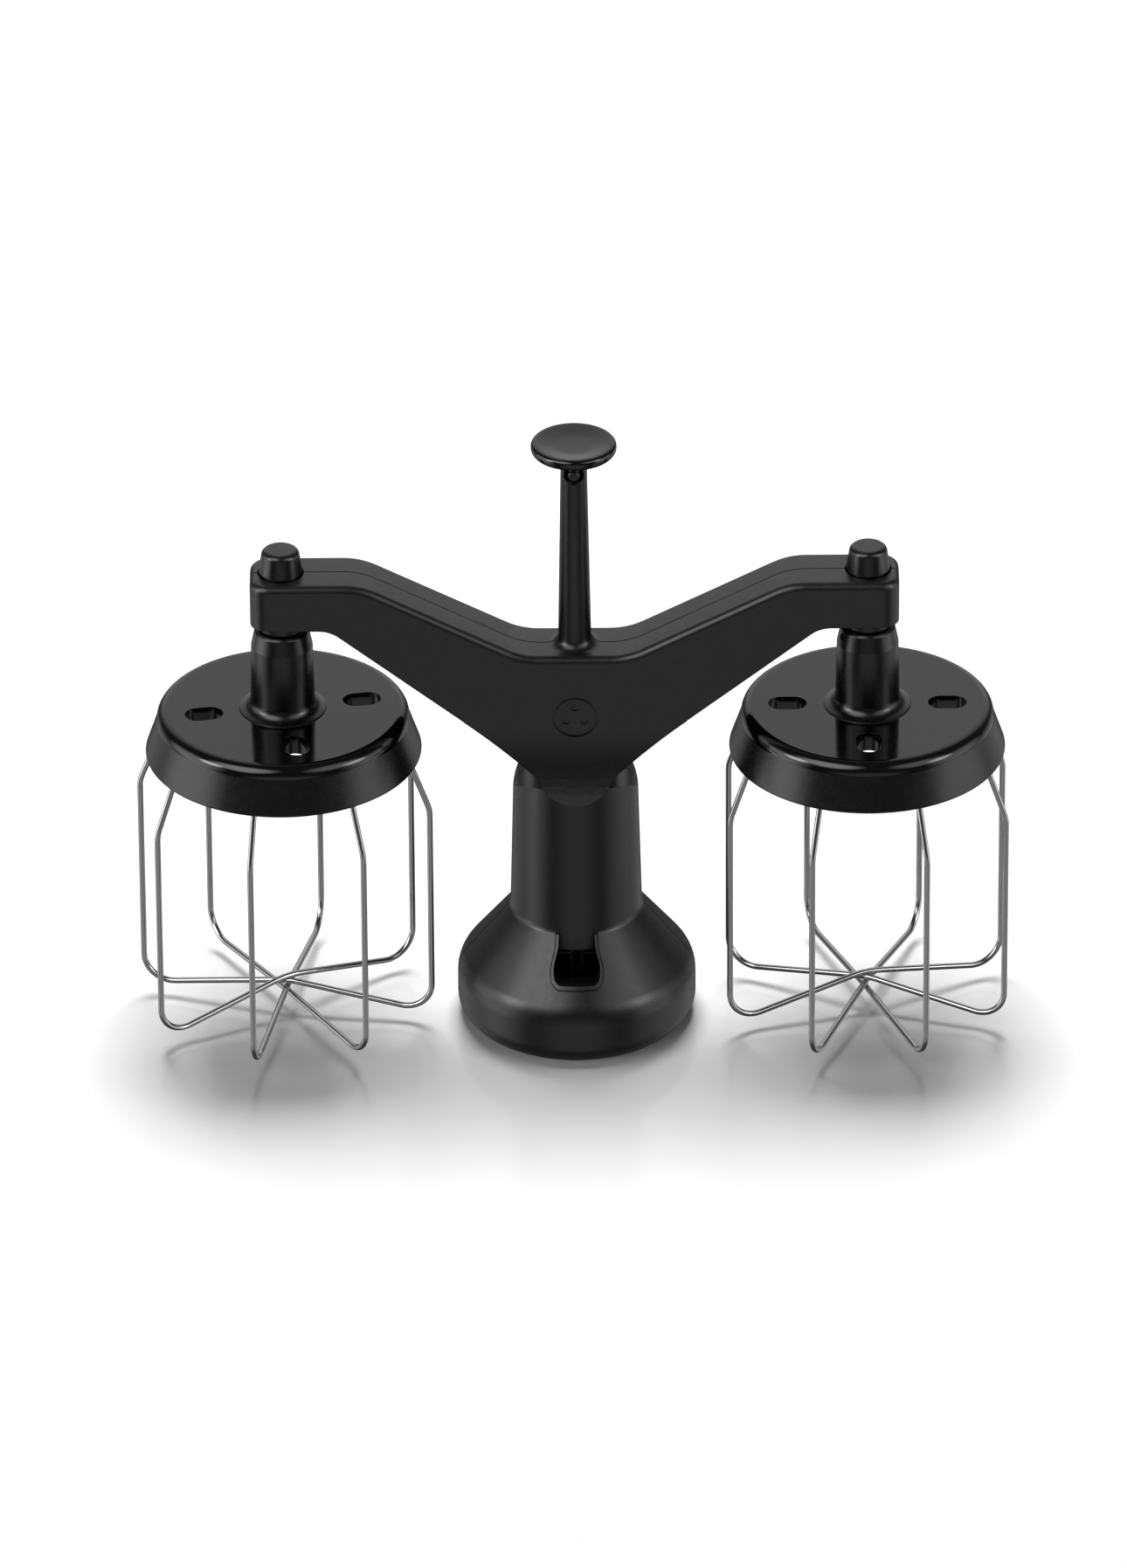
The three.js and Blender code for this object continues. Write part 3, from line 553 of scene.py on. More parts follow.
@dataclass
class Housing:
    """The two shells: wing with its arms, neck, column, bell foot and chimney, and their screws."""

    finishes: Finishes
    whisk_axis_x: float
    depth: float = 17.0
    wall: float = 2.2
    bend_r: float = 18.0  # where the arms bend
    end_r: float = 4.6
    top_rim_r: float = 1.9
    low_rim_r: float = 0.7
    rod_hole_r: float = 2.2
    boss_r: float = 3.7
    bush_hole_r: float = 5.3
    button_hole_r: float = 5.75
    end_x: float = 79.6
    arm_top: float = 124.0
    arm_under: float = 111.8
    centre_top: float = 103.8
    top_slope: float = 0.511
    slope_start_x: float = 12.96
    under_slope: float = 0.7915
    under_end_x: float = 60.1
    neck_half: float = 8.2
    neck_r: float = 3.2
    column_r: float = 16.35  # at its foot
    column_top_r: float = 15.31
    column_foot: float = 30.3
    cone_slope: float = 0.798  # how far the cone widens for each millimetre down
    shoulder_top: float = 69.4
    shoulder_r: float = 7.35
    shoulder_x: float = 15.6
    sweep_r: float = 30.0
    sweep_top: float = 85.18
    sweep_turn: float = math.radians(46)
    tip_top: float = 86.0
    chimney_top: float = 155.6
    screw_spots: tuple[Point2, ...] = ((58.0, 119.6), (30.0, 94.4), (13.6, 87.3))

    def wing(self) -> bmesh.types.BMesh:
        """The flat body whose two arms rise to level ends, with rounded rims.

        Returns:
            The solid, in millimetres.
        """
        level_x = self.slope_start_x + (self.arm_top - self.centre_top) / self.top_slope
        right = [
            (self.slope_start_x, self.centre_top, self.bend_r),
            (level_x, self.arm_top, self.bend_r),
            (self.end_x, self.arm_top, 0.0),
            (self.end_x, self.arm_under, 0.0),
            (self.under_end_x, self.arm_under, 8.0),
            (self.neck_half, self.neck_z(), self.neck_r),
            (self.neck_half, self.shoulder_top - 6.0, 0.0),
        ]
        left = [(-x, z, radius) for x, z, radius in reversed(right)]
        half = self.depth / 2
        bm = plate(rounded(right + left, True, 5.0), -half, half)
        ends = [edge for edge in bm.edges if all(abs(v.co.x) > self.end_x - 0.01 for v in edge.verts)
                and abs(edge.verts[0].co.z - edge.verts[1].co.z) > 5]
        round_off(bm, ends, self.end_r, 8)
        bm.normal_update()
        top_rim = [edge for edge in sharp_edges(bm, lambda p: p.z > self.centre_top - 0.05, 60.0)
                   if self.on_top(edge)]
        round_off(bm, top_rim, self.top_rim_r, 5)
        bm.normal_update()
        low_rim = sharp_edges(bm, lambda p: self.shoulder_top - 5.9 < p.z < self.arm_under + 0.05, 60.0)
        round_off(bm, low_rim, self.low_rim_r, 3)
        return tidy(bm)

    def neck_z(self) -> float:
        """Height at which the two undersides of the arms would turn down into the neck."""
        return self.arm_under - self.under_slope * (self.under_end_x - self.neck_half)

    def on_top(self, edge: bmesh.types.BMEdge) -> bool:
        """Whether an edge borders a face that looks up."""
        return any(face.normal.z > 0.7 for face in edge.link_faces)

    def column_and_bell(self) -> bmesh.types.BMesh:
        """The turned foot: bell, cone and column, whose top falls off to the sides in round shoulders.

        Returns:
            The solid, in millimetres.
        """
        over = self.shoulder_top + 1.0
        profile = rounded([
            (0, 0, 0), (27.0, 0, 0.8), (29.6, 3.1, 6.0), (29.6, 13.7, 9.0),
            (self.column_r, self.column_foot, 2.8), (self.column_top_r, over, 0), (0, over, 0)], False, 8.0)
        low = self.shoulder_top - self.shoulder_r - 0.1
        right = [(20, over + 5, 0), (20, low, 0), (self.shoulder_x, low, 0),
                 (self.shoulder_x, self.shoulder_top, self.shoulder_r)]
        left = [(-x, z, radius) for x, z, radius in reversed(right)]
        above = plate(rounded(right + left, True, 6.0), -20, 20)
        bm = worked(lathe(profile, 128), above, Join.CUT)
        bm = worked(bm, self.sweeps(), Join.CUT)
        rim = sharp_edges(bm, lambda p: low + 1.6 < p.z < self.shoulder_top + 0.05
                          and math.hypot(p.x, p.y) > 15.2 and abs(p.x) > self.neck_half + 0.2, 25.0)
        round_off(bm, rim, 0.5, 3)
        return tidy(bm)

    def sweeps(self) -> bmesh.types.BMesh:
        """What is cleared in front of and behind the hollow sweep from the wing's faces to the column's rim.

        Returns:
            One mesh with the front and the rear tool.
        """
        face = self.depth / 2 - 0.03
        run = self.sweep_r * math.tan(self.sweep_turn / 2)
        corner_z = self.sweep_top - run
        far = face + (run + 2) * math.sin(self.sweep_turn)
        far_z = corner_z - (run + 2) * math.cos(self.sweep_turn)
        rear = rounded([(face, self.tip_top + 4, 0), (face, corner_z, self.sweep_r), (far, far_z, 0),
                        (far + 4, far_z, 0), (far + 4, self.tip_top + 4, 0)], True, 4.0)
        front = [(-y, z) for y, z in rear]
        bm = merged([plate(rear, -35, 35), plate(front, -35, 35)])
        return moved(bm, Matrix.Rotation(math.radians(90), 4, "Z"))

    def wing_tip(self) -> bmesh.types.BMesh:
        """The wing's lower tip, which swells out to the column's front and rear.

        Returns:
            The solid, in millimetres.
        """
        slack = 0.02
        top_x = self.neck_half + slack + (self.tip_top - self.neck_z()) / self.under_slope
        right = [(top_x, self.tip_top, 0), (self.neck_half + slack, self.neck_z(), self.neck_r),
                 (self.neck_half + slack, self.shoulder_top - 0.15, 0)]
        left = [(-x, z, radius) for x, z, radius in reversed(right)]
        bm = worked(plate(rounded(right + left, True, 6.0), -16, 16), self.sweeps(), Join.CUT)
        near_face = self.depth / 2 - 0.1
        rim = [edge for edge in sharp_edges(bm, lambda p: abs(p.y) > near_face, 60.0)
               if min(v.co.z for v in edge.verts) < self.tip_top - 0.1
               and max(v.co.z for v in edge.verts) > self.shoulder_top]
        round_off(bm, rim, self.low_rim_r, 3)
        return tidy(bm)

    def chimney(self) -> bmesh.types.BMesh:
        """The tapered tube on the wing, with its flared foot.

        Returns:
            The solid, in millimetres.
        """
        foot = self.centre_top
        profile = rounded([
            (0, foot - 3, 0), (7.6, foot - 3, 0), (7.6, foot - 0.05, 0), (4.12, foot + 0.25, 2.6),
            (3.2, self.chimney_top, 0.5), (0, self.chimney_top, 0)], False, 8.0)
        return lathe(profile, 64)

    def hollow(self) -> bmesh.types.BMesh:
        """The space inside the arms for the shafts.

        Returns:
            The tool that cuts it, with the screw bosses left standing.
        """
        drop = self.wall / math.cos(math.atan(self.top_slope))
        rise = self.wall / math.cos(math.atan(self.under_slope))
        thin = 1.8
        roof = self.arm_top - thin
        floor = self.arm_under + thin
        ceiling = self.centre_top - self.wall
        low = 84.0  # the wing's tip is solid below this
        roof_x = self.slope_start_x + (roof + drop - self.centre_top) / self.top_slope
        ceiling_x = self.slope_start_x + (ceiling + drop - self.centre_top) / self.top_slope
        right = [
            (ceiling_x, ceiling),
            (roof_x, roof),
            (self.end_x - 1.6, roof),
            (self.end_x - 1.6, floor),
            (self.under_end_x - (self.arm_under - floor + rise) / self.under_slope, floor),
            (self.under_end_x - (self.arm_under - low + rise) / self.under_slope, low),
        ]
        left = [(-x, z) for x, z in reversed(right)]
        inner = self.depth / 2 - self.wall
        space = plate(right + left, -inner, inner)
        bosses = merged(along_y(rod(self.boss_r, -9, 9, 32), side.value * spot_x, spot_z)
                        for side in Side for spot_x, spot_z in self.screw_spots)
        return worked(space, bosses, Join.CUT)

    def window(self) -> bmesh.types.BMesh:
        """The cut in the front of the bell: it bares the column's wall and opens below it.

        Returns:
            The tool that cuts it.
        """
        right = [(4.2, 32.6, 1.5), (4.6, 27.0, 4.0), (5.8, 23.2, 4.0), (5.7, 19.6, 1.9)]
        left = [(-x, z, radius) for x, z, radius in reversed(right)]
        outline = rounded(right + left, True, 10.0)
        bared_r = 15.9  # the column's wall, as it shows in the window
        return worked(plate(outline, -36, -14), rod(bared_r, 25.2, 40, 96), Join.CUT)

    def window_frame(self) -> bmesh.types.BMesh:
        """The shallow step round the window, sunk in the cone's outside.

        Returns:
            The tool that cuts it.
        """
        sunk = 0.6
        right = [(5.0, 33.0, 1.5), (5.5, 27.0, 4.0), (6.7, 23.0, 4.0), (6.6, 18.8, 2.6)]
        left = [(-x, z, radius) for x, z, radius in reversed(right)]
        wide = plate(rounded(right + left, True, 10.0), -36, -14)
        clear_r = self.column_r + 0.05
        edge_z = self.column_foot - (clear_r + sunk - self.column_r) / self.cone_slope
        low = 8.0
        high = 40.0
        low_r = clear_r + (edge_z - low) * self.cone_slope
        core = lathe([(0, low), (low_r, low), (clear_r, edge_z), (clear_r, high), (0, high)], 128)
        return worked(wide, core, Join.CUT)

    def cutters(self) -> bmesh.types.BMesh:
        """Everything that is cut from the outer form and doesn't touch another cut.

        Returns:
            One mesh with all the tools.
        """
        parts = [
            lathe(rounded([(0, -1, 0), (25.3, -1, 0), (25.3, 0.2, 0), (26.9, 4, 2), (26.7, 9.5, 4),
                           (16.6, 25, 1), (13, 25, 0.6), (13, 60, 1), (0, 60, 0)], False, 12.0), 96),
            plate(rounded([(2.5, 149.5, 2.4), (2.5, 163, 0), (-2.5, 163, 0), (-2.5, 149.5, 2.4)], True),
                  -5, -0.5),
        ]
        for side in Side:
            at_axis = Matrix.Translation((side.value * self.whisk_axis_x, 0, 0))
            bush_hole = rod(self.bush_hole_r, self.arm_under - 2, self.arm_under + self.wall)
            button_hole = rod(self.button_hole_r, self.arm_top - self.wall, self.arm_top + 2)
            parts.extend((moved(bush_hole, at_axis), moved(button_hole, at_axis)))
            for spot_x, spot_z in self.screw_spots:
                hole = lathe([(0, -5.8), (1.25, -5.8), (1.25, 5.7), (2.9, 5.7), (2.9, 10), (0, 10)], 40)
                parts.append(along_y(hole, side.value * spot_x, spot_z))
        return merged(parts)

    def front_mark(self) -> bmesh.types.BMesh:
        """A plain sunk ring with three dots, moulded in the front face as a mark with no meaning.

        Returns:
            The tool that cuts it.
        """
        parts = [lathe([(4.9, 0), (5.7, 0), (5.7, 0.7), (4.9, 0.7)], 64)]
        for k in range(3):
            angle = math.radians(90 + 120 * k)
            parts.append(moved(rod(0.95, 0, 0.7, 24),
                               Matrix.Translation((2.5 * math.cos(angle), 2.5 * math.sin(angle), 0))))
        mark = merged(parts)
        turn = Matrix.Rotation(math.radians(90), 4, "X")
        return moved(mark, Matrix.Translation((0, -self.depth / 2 + 0.35, 87.5)) @ turn)

    def whole(self) -> bmesh.types.BMesh:
        """The housing before it is split into shells.

        Returns:
            The solid, in millimetres.
        """
        bm = worked(self.wing(), self.column_and_bell(), Join.ADD)
        bm = worked(bm, self.wing_tip(), Join.ADD)
        bm = worked(bm, self.chimney(), Join.ADD)
        bm = worked(bm, self.cutters(), Join.CUT)
        bm = worked(bm, self.window_frame(), Join.CUT)
        bm = worked(bm, self.window(), Join.CUT)
        bm = worked(tidy(bm), self.front_mark(), Join.CUT)
        bm = worked(bm, rod(self.rod_hole_r, 55, 160, 32), Join.CUT)
        return worked(bm, self.hollow(), Join.CUT)

    def shell(self, whole: bmesh.types.BMesh, front: bool) -> bmesh.types.BMesh:
        """Keep the front or the rear half of the whole housing.

        Args:
            whole: The housing in one piece, which is kept.
            front: True for the front half.

        Returns:
            The closed half.
        """
        bm = whole.copy()
        sign = -1 if front else 1
        cut = bmesh.ops.bisect_plane(bm, geom=bm.verts[:] + bm.edges[:] + bm.faces[:], dist=1e-5,
                                     plane_co=(0, sign * GAP, 0), plane_no=(0, sign, 0), clear_inner=True)
        rim = [item for item in cut["geom_cut"] if isinstance(item, bmesh.types.BMEdge)]
        bmesh.ops.triangle_fill(bm, use_beauty=True, use_dissolve=False, edges=rim)
        # The cuts can leave a gap of three or four sides.
        bmesh.ops.holes_fill(bm, edges=[edge for edge in bm.edges if edge.is_boundary], sides=4)
        bmesh.ops.recalc_face_normals(bm, faces=bm.faces)
        return bm

    def screw(self) -> bmesh.types.BMesh:
        """A sunk screw with a slotted head, standing along Z.

        Returns:
            The solid, in millimetres.
        """
        bm = lathe(rounded([(0, -5.6, 0), (0.6, -5.6, 0), (1.2, -4.6, 0), (1.2, 5.8, 0), (2.5, 5.8, 0),
                            (2.5, 7.6, 0.45), (0, 7.6, 0)], False, 15.0), 40)
        slot = plate([(-1.9, 6.9), (1.9, 6.9), (1.9, 8.5), (-1.9, 8.5)], -0.35, 0.35)
        return worked(bm, slot, Join.CUT)

    def build(self) -> None:
        """Make the shells and the screws."""
        whole = self.whole()
        for front, name in ((True, "front"), (False, "rear")):
            piece(f"{name}_shell", self.shell(whole, front), [self.finishes.satin],
                  "housing", [f"{name}_housing"])
        whole.free()
        number = 1
        for spot_x, spot_z in self.screw_spots:
            for sign in (1, -1):
                bm = along_y(self.screw(), sign * spot_x, spot_z)
                piece(f"sunk_screw_{number}", bm, [self.finishes.screw],
                      "housing", [f"housing_screw_{number}"])
                number += 1


# ------------------------------------------------------------------ whisks


@dataclass
class Whisk:
    """One balloon whisk, its neck bush and its eject button."""

    finishes: Finishes
    side: Side
    axis_x: float
    turn: float  # how far the whisk stands turned on its spindle, in radians
    cap_top: float = 86.1
    hub_top: float = 108.5
    rim_z: float = 74.0
    rim_r: float = 34.25
    band_r: float = 31.2
    band_z: float = 82.9
    slot_r: float = 19.7
    slot_long: float = 9.5
    slot_wide: float = 6.3
    slot_wall: float = 1.1
    button_hole_r: float = 4.05
    wire_r: float = 0.75
    cage_r: float = 36.8
    wire_low: float = 3.9
    crossing_low: float = 4.8
    crossing_step: float = 1.5

    def placed(self, bm: bmesh.types.BMesh, angle: float = 0.0) -> bmesh.types.BMesh:
        """Turn a piece round the whisk's axis and move it to its arm."""
        turn = Matrix.Rotation(angle + self.turn, 4, "Z")
        return moved(bm, Matrix.Translation((self.side.value * self.axis_x, 0, 0)) @ turn)

    def cap(self) -> bmesh.types.BMesh:
        """The cap: hub, glossy top and band, satin skirt, and the hollow underneath.

        Returns:
            The solid, whose faces are marked glossy or satin.
        """
        profile = rounded([
            (0, 79.6, 0), (11, 79.6, 0.8), (11, 83.9, 0.8), (26.2, 83.9, 0.5), (26.2, 80.5, 0.4),
            (29.4, 80.5, 0.4), (29.4, 83, 0.5), (33.25, self.rim_z, 0.2), (self.rim_r, self.rim_z, 0.45),
            (self.band_r, self.band_z, 0), (self.band_r, self.cap_top, 2.9),
            (10.9, self.cap_top, 0.2), (10.6, self.cap_top + 0.25, 0.2), (8.0, 87.3, 2.8),
            (7.6, 103.9, 0.25), (6.75, 107.9, 0.45),
            (6.2, self.hub_top, 0.3), (0, self.hub_top, 0)], False, 8.0)
        bm = lathe(profile, 144)
        slots = self.four_posts(0.0, 80.5, 88.0)
        slots.append(rod(self.button_hole_r, 85.5, 110.0))
        lying = Matrix.Rotation(math.radians(90), 4, "Y")
        vent = moved(rod(0.9, -4, 4, 24), Matrix.Translation((-7.2, 0, 106.4)) @ lying)
        moved(vent, Matrix.Rotation(math.radians(25), 4, "Z"))
        bm = worked(bm, merged(self.four_posts(self.slot_wall, 81.1, 84.5)), Join.ADD)
        bm = worked(bm, merged(slots), Join.CUT)
        bm = worked(bm, vent, Join.CUT)
        top = self.cap_top - 0.3
        rims = sharp_edges(bm, lambda p: p.z > top and abs(math.hypot(p.x, p.y) - self.slot_r) < 5.4)
        round_off(bm, rims, 0.45, 3)
        self.mark_skirt(bm)
        return bm

    def four_posts(self, wall: float, low: float, high: float) -> list[bmesh.types.BMesh]:
        """Make a post at each of the cap's four slots, to cut the slot or to wall it in.

        Args:
            wall: How far the post stands out all round the slot, in millimetres.
            low: Where it starts, in millimetres.
            high: Where it ends, in millimetres.

        Returns:
            The four solids.
        """
        outline = [(x + self.slot_r, y)
                   for x, y in stadium(self.slot_long + 2 * wall, self.slot_wide + 2 * wall, 12.0)]
        turns = [Matrix.Rotation(math.radians(90 * k), 4, "Z") for k in range(4)]
        return [moved(post(outline, low, high), turn) for turn in turns]

    def mark_skirt(self, bm: bmesh.types.BMesh) -> None:
        """Give the hub, the skirt's outside and everything underneath the satin finish.

        Args:
            bm: The cap, whose faces are marked in place.
        """
        bm.normal_update()
        for face in bm.faces:
            middle = face.calc_center_median()
            radius = math.hypot(middle.x, middle.y)
            below = middle.z < self.band_z - 0.15
            on_hub = middle.z > self.cap_top + 0.1 and radius < 10.9
            face.material_index = 1 if on_hub or (below and radius > 10) else 0

    def wire(self, place: int) -> bmesh.types.BMesh:
        """One wire in the XZ plane, swept along both of its halves.

        Args:
            place: The wire's place in the stack where the wires cross, from the lowest.

        Returns:
            The closed wire.
        """
        crossing = self.crossing_low + self.crossing_step * place
        rise = (crossing - self.wire_low) / (self.cage_r - 7)
        corner_z = self.wire_low - 7 * rise
        half = [(25.0, 82.0, 0), (28.6, 82.0, 1.6), (self.cage_r, 61.0, 9.0), (self.cage_r, corner_z, 7.0)]
        back = [(-r, z, radius) for r, z, radius in reversed(half)]
        line = rounded([*half, (0, crossing, 22.0), *back], False, 7.0)
        return self.swept(line)

    def swept(self, line: Sequence[Point2]) -> bmesh.types.BMesh:
        """Sweep the wire's round section along a line in the XZ plane.

        Args:
            line: Points of the wire's middle as (x, z), in millimetres.

        Returns:
            The closed wire.
        """
        bm = bmesh.new()
        points = [Vector((x, 0, z)) for x, z in line]
        rings = []
        last = len(points) - 1
        for i, point in enumerate(points):
            before = points[max(i - 1, 0)]
            after = points[min(i + 1, last)]
            ahead = (after - before).normalized()
            frame = ahead.to_track_quat("Z", "Y").to_matrix().to_4x4()
            ring = bmesh.ops.create_circle(bm, segments=16, radius=self.wire_r, cap_ends=i in (0, last),
                                           matrix=Matrix.Translation(point) @ frame)
            rings.append(ring["verts"])
        for first, second in zip(rings, rings[1:]):
            edges = [edge for ring in (first, second) for edge in self.rim(ring)]
            bmesh.ops.bridge_loops(bm, edges=edges)
        return tidy(bm)

    def rim(self, ring: Sequence[bmesh.types.BMVert]) -> list[bmesh.types.BMEdge]:
        """The edges that run round one ring of points.

        Args:
            ring: The ring's points.

        Returns:
            Its edges.
        """
        members = set(ring)
        return [edge for edge in {e for vert in ring for e in vert.link_edges}
                if edge.verts[0] in members and edge.verts[1] in members]

    def lock_ring(self) -> bmesh.types.BMesh:
        """Flat ring under the cap that shuts the wires in their notches."""
        profile = [(25, 78.7, 0.3), (27.6, 78.7, 0.3), (27.6, 80.2, 0.3), (25, 80.2, 0.3)]
        return lathe(rounded(profile, True, 30.0), 96)

    def bush(self) -> bmesh.types.BMesh:
        """Flanged bush between the arm and the hub.

        Returns:
            The solid, in millimetres.
        """
        return lathe(rounded([(3.9, 108.85, 0.1), (6, 108.85, 0.5), (6, 111.5, 0.3), (5, 111.5, 0.05),
                              (5, 113.5, 0.3), (3.9, 113.5, 0.2)], True, 15.0), 64)

    def button(self) -> bmesh.types.BMesh:
        """The eject button: a blunt cone with a stem down through the spindle.

        Returns:
            The solid, in millimetres.
        """
        profile = rounded([(0, 89, 0), (0.9, 89, 0.2), (0.9, 127.8, 0.1), (3.2, 127.8, 0.1),
                           (3.2, 123.8, 0.1), (5.4, 123.8, 0.15), (5.4, 124.6, 0.8), (4.5, 130.4, 1.5),
                           (0, 130.4, 0)], False, 10.0)
        return lathe(profile, 72)

    def build(self) -> None:
        """Make all pieces of this whisk."""
        word = self.side.word
        whisk = f"{word}_whisk"
        look = self.finishes
        piece(f"{word}_cap", self.placed(self.cap()), [look.gloss, look.skirt], whisk,
              [f"{word}_whisk_cap"])
        piece(f"{word}_lock_ring", self.placed(self.lock_ring()), [look.satin], whisk,
              [f"{word}_wire_lock_ring"])
        for k, place in enumerate((3, 1, 0, 2)):
            bm = self.placed(self.wire(place), math.radians(22.5 + 45 * k))
            piece(f"{word}_bent_wire_{k + 1}", bm, [look.wire], whisk,
                  [f"{word}_wire_{k + 1}"])
        piece(f"{word}_bush", self.placed(self.bush()), [look.satin], "housing",
              [f"{word}_neck_bush"])
        piece(f"{word}_push_button", self.placed(self.button()), [look.skirt], f"{word}_button",
              [f"{word}_eject_button"])


# ------------------------------------------------------------------ drive shaft


@dataclass
class DriveShaft:
    """The rod in the chimney with its dished knob and its lug."""

    finishes: Finishes
    knob_r: float = 10.5
    knob_low: float = 156.2
    knob_top: float = 160.0
    lug_z: float = 151.6
    rod_r: float = 1.8
    hexagon_r: float = 1.75
    hexagon_top: float = 22.0

    def knob(self) -> bmesh.types.BMesh:
        """The dished knob: a thin rounded rim and a shallow hollow on top.

        Returns:
            The solid, in millimetres.
        """
        profile = rounded([(0, 158.3, 0), (2.1, 158.3, 0.1), (2.1, self.knob_low, 0.1),
                           (6.5, self.knob_low, 3), (self.knob_r, 157.3, 1.3),
                           (self.knob_r, self.knob_top, 1.1), (8.6, 159.75, 2.5), (5, 159.05, 12),
                           (0, 158.95, 0)], False, 8.0)
        return lathe(profile, 96)

    def steel_rod(self) -> bmesh.types.BMesh:
        """The steel rod with a hexagonal driving end.

        Returns:
            The solid, whose hexagonal end is marked black as painted shade, so it stays dark where it shows
            through the bell's window.
        """
        turns = [math.radians(60 * k) for k in range(6)]
        hexagon = [(self.hexagon_r * math.cos(turn), self.hexagon_r * math.sin(turn)) for turn in turns]
        bar = rod(self.rod_r, self.hexagon_top - 0.5, 158)
        bm = worked(bar, post(hexagon, 8, self.hexagon_top), Join.ADD)
        bm = worked(bm, along_y(rod(0.95, -3, 3, 24), 0, self.lug_z), Join.CUT)
        # Painted shade: the hexagonal end shows through the bell's window and gets the black nylon finish
        # instead of steel, so it reads dark.
        for face in bm.faces:
            face.material_index = 1 if face.calc_center_median().z < self.hexagon_top else 0
        return bm

    def lug(self) -> bmesh.types.BMesh:
        """The lug that stands out of the rod into the chimney's notch.

        Returns:
            The solid, in millimetres.
        """
        bm = lathe(rounded([(0, -1.6, 0), (0.65, -1.6, 0), (0.65, 2.1, 0), (1.5, 2.1, 0), (1.5, 3.1, 0.7),
                            (0, 3.1, 0)], False, 12.0), 40)
        moved(bm, Matrix.Rotation(math.radians(90), 4, "X"))
        return moved(bm, Matrix.Translation((0, 0, self.lug_z)))

    def build(self) -> None:
        """Make the knob, the rod and the lug."""
        look = self.finishes
        piece("dished_knob", self.knob(), [look.gloss], "drive_shaft", ["push_knob"])
        # The second finish is painted shade on the rod's hexagonal end.
        piece("steel_rod", self.steel_rod(), [look.shaft, look.satin], "drive_shaft",
              ["drive_rod"])
        piece("round_lug", self.lug(), [look.satin], "drive_shaft", ["drive_lug"])


# ------------------------------------------------------------------ studio


@dataclass(frozen=True)
class SoftBox:
    """A glow in the studio's surroundings with a soft edge."""

    towards: tuple[float, float, float]
    full_angle: float  # as bright as it gets within this angle of its middle, in degrees
    zero_angle: float  # dark beyond this angle, in degrees
    strength: float


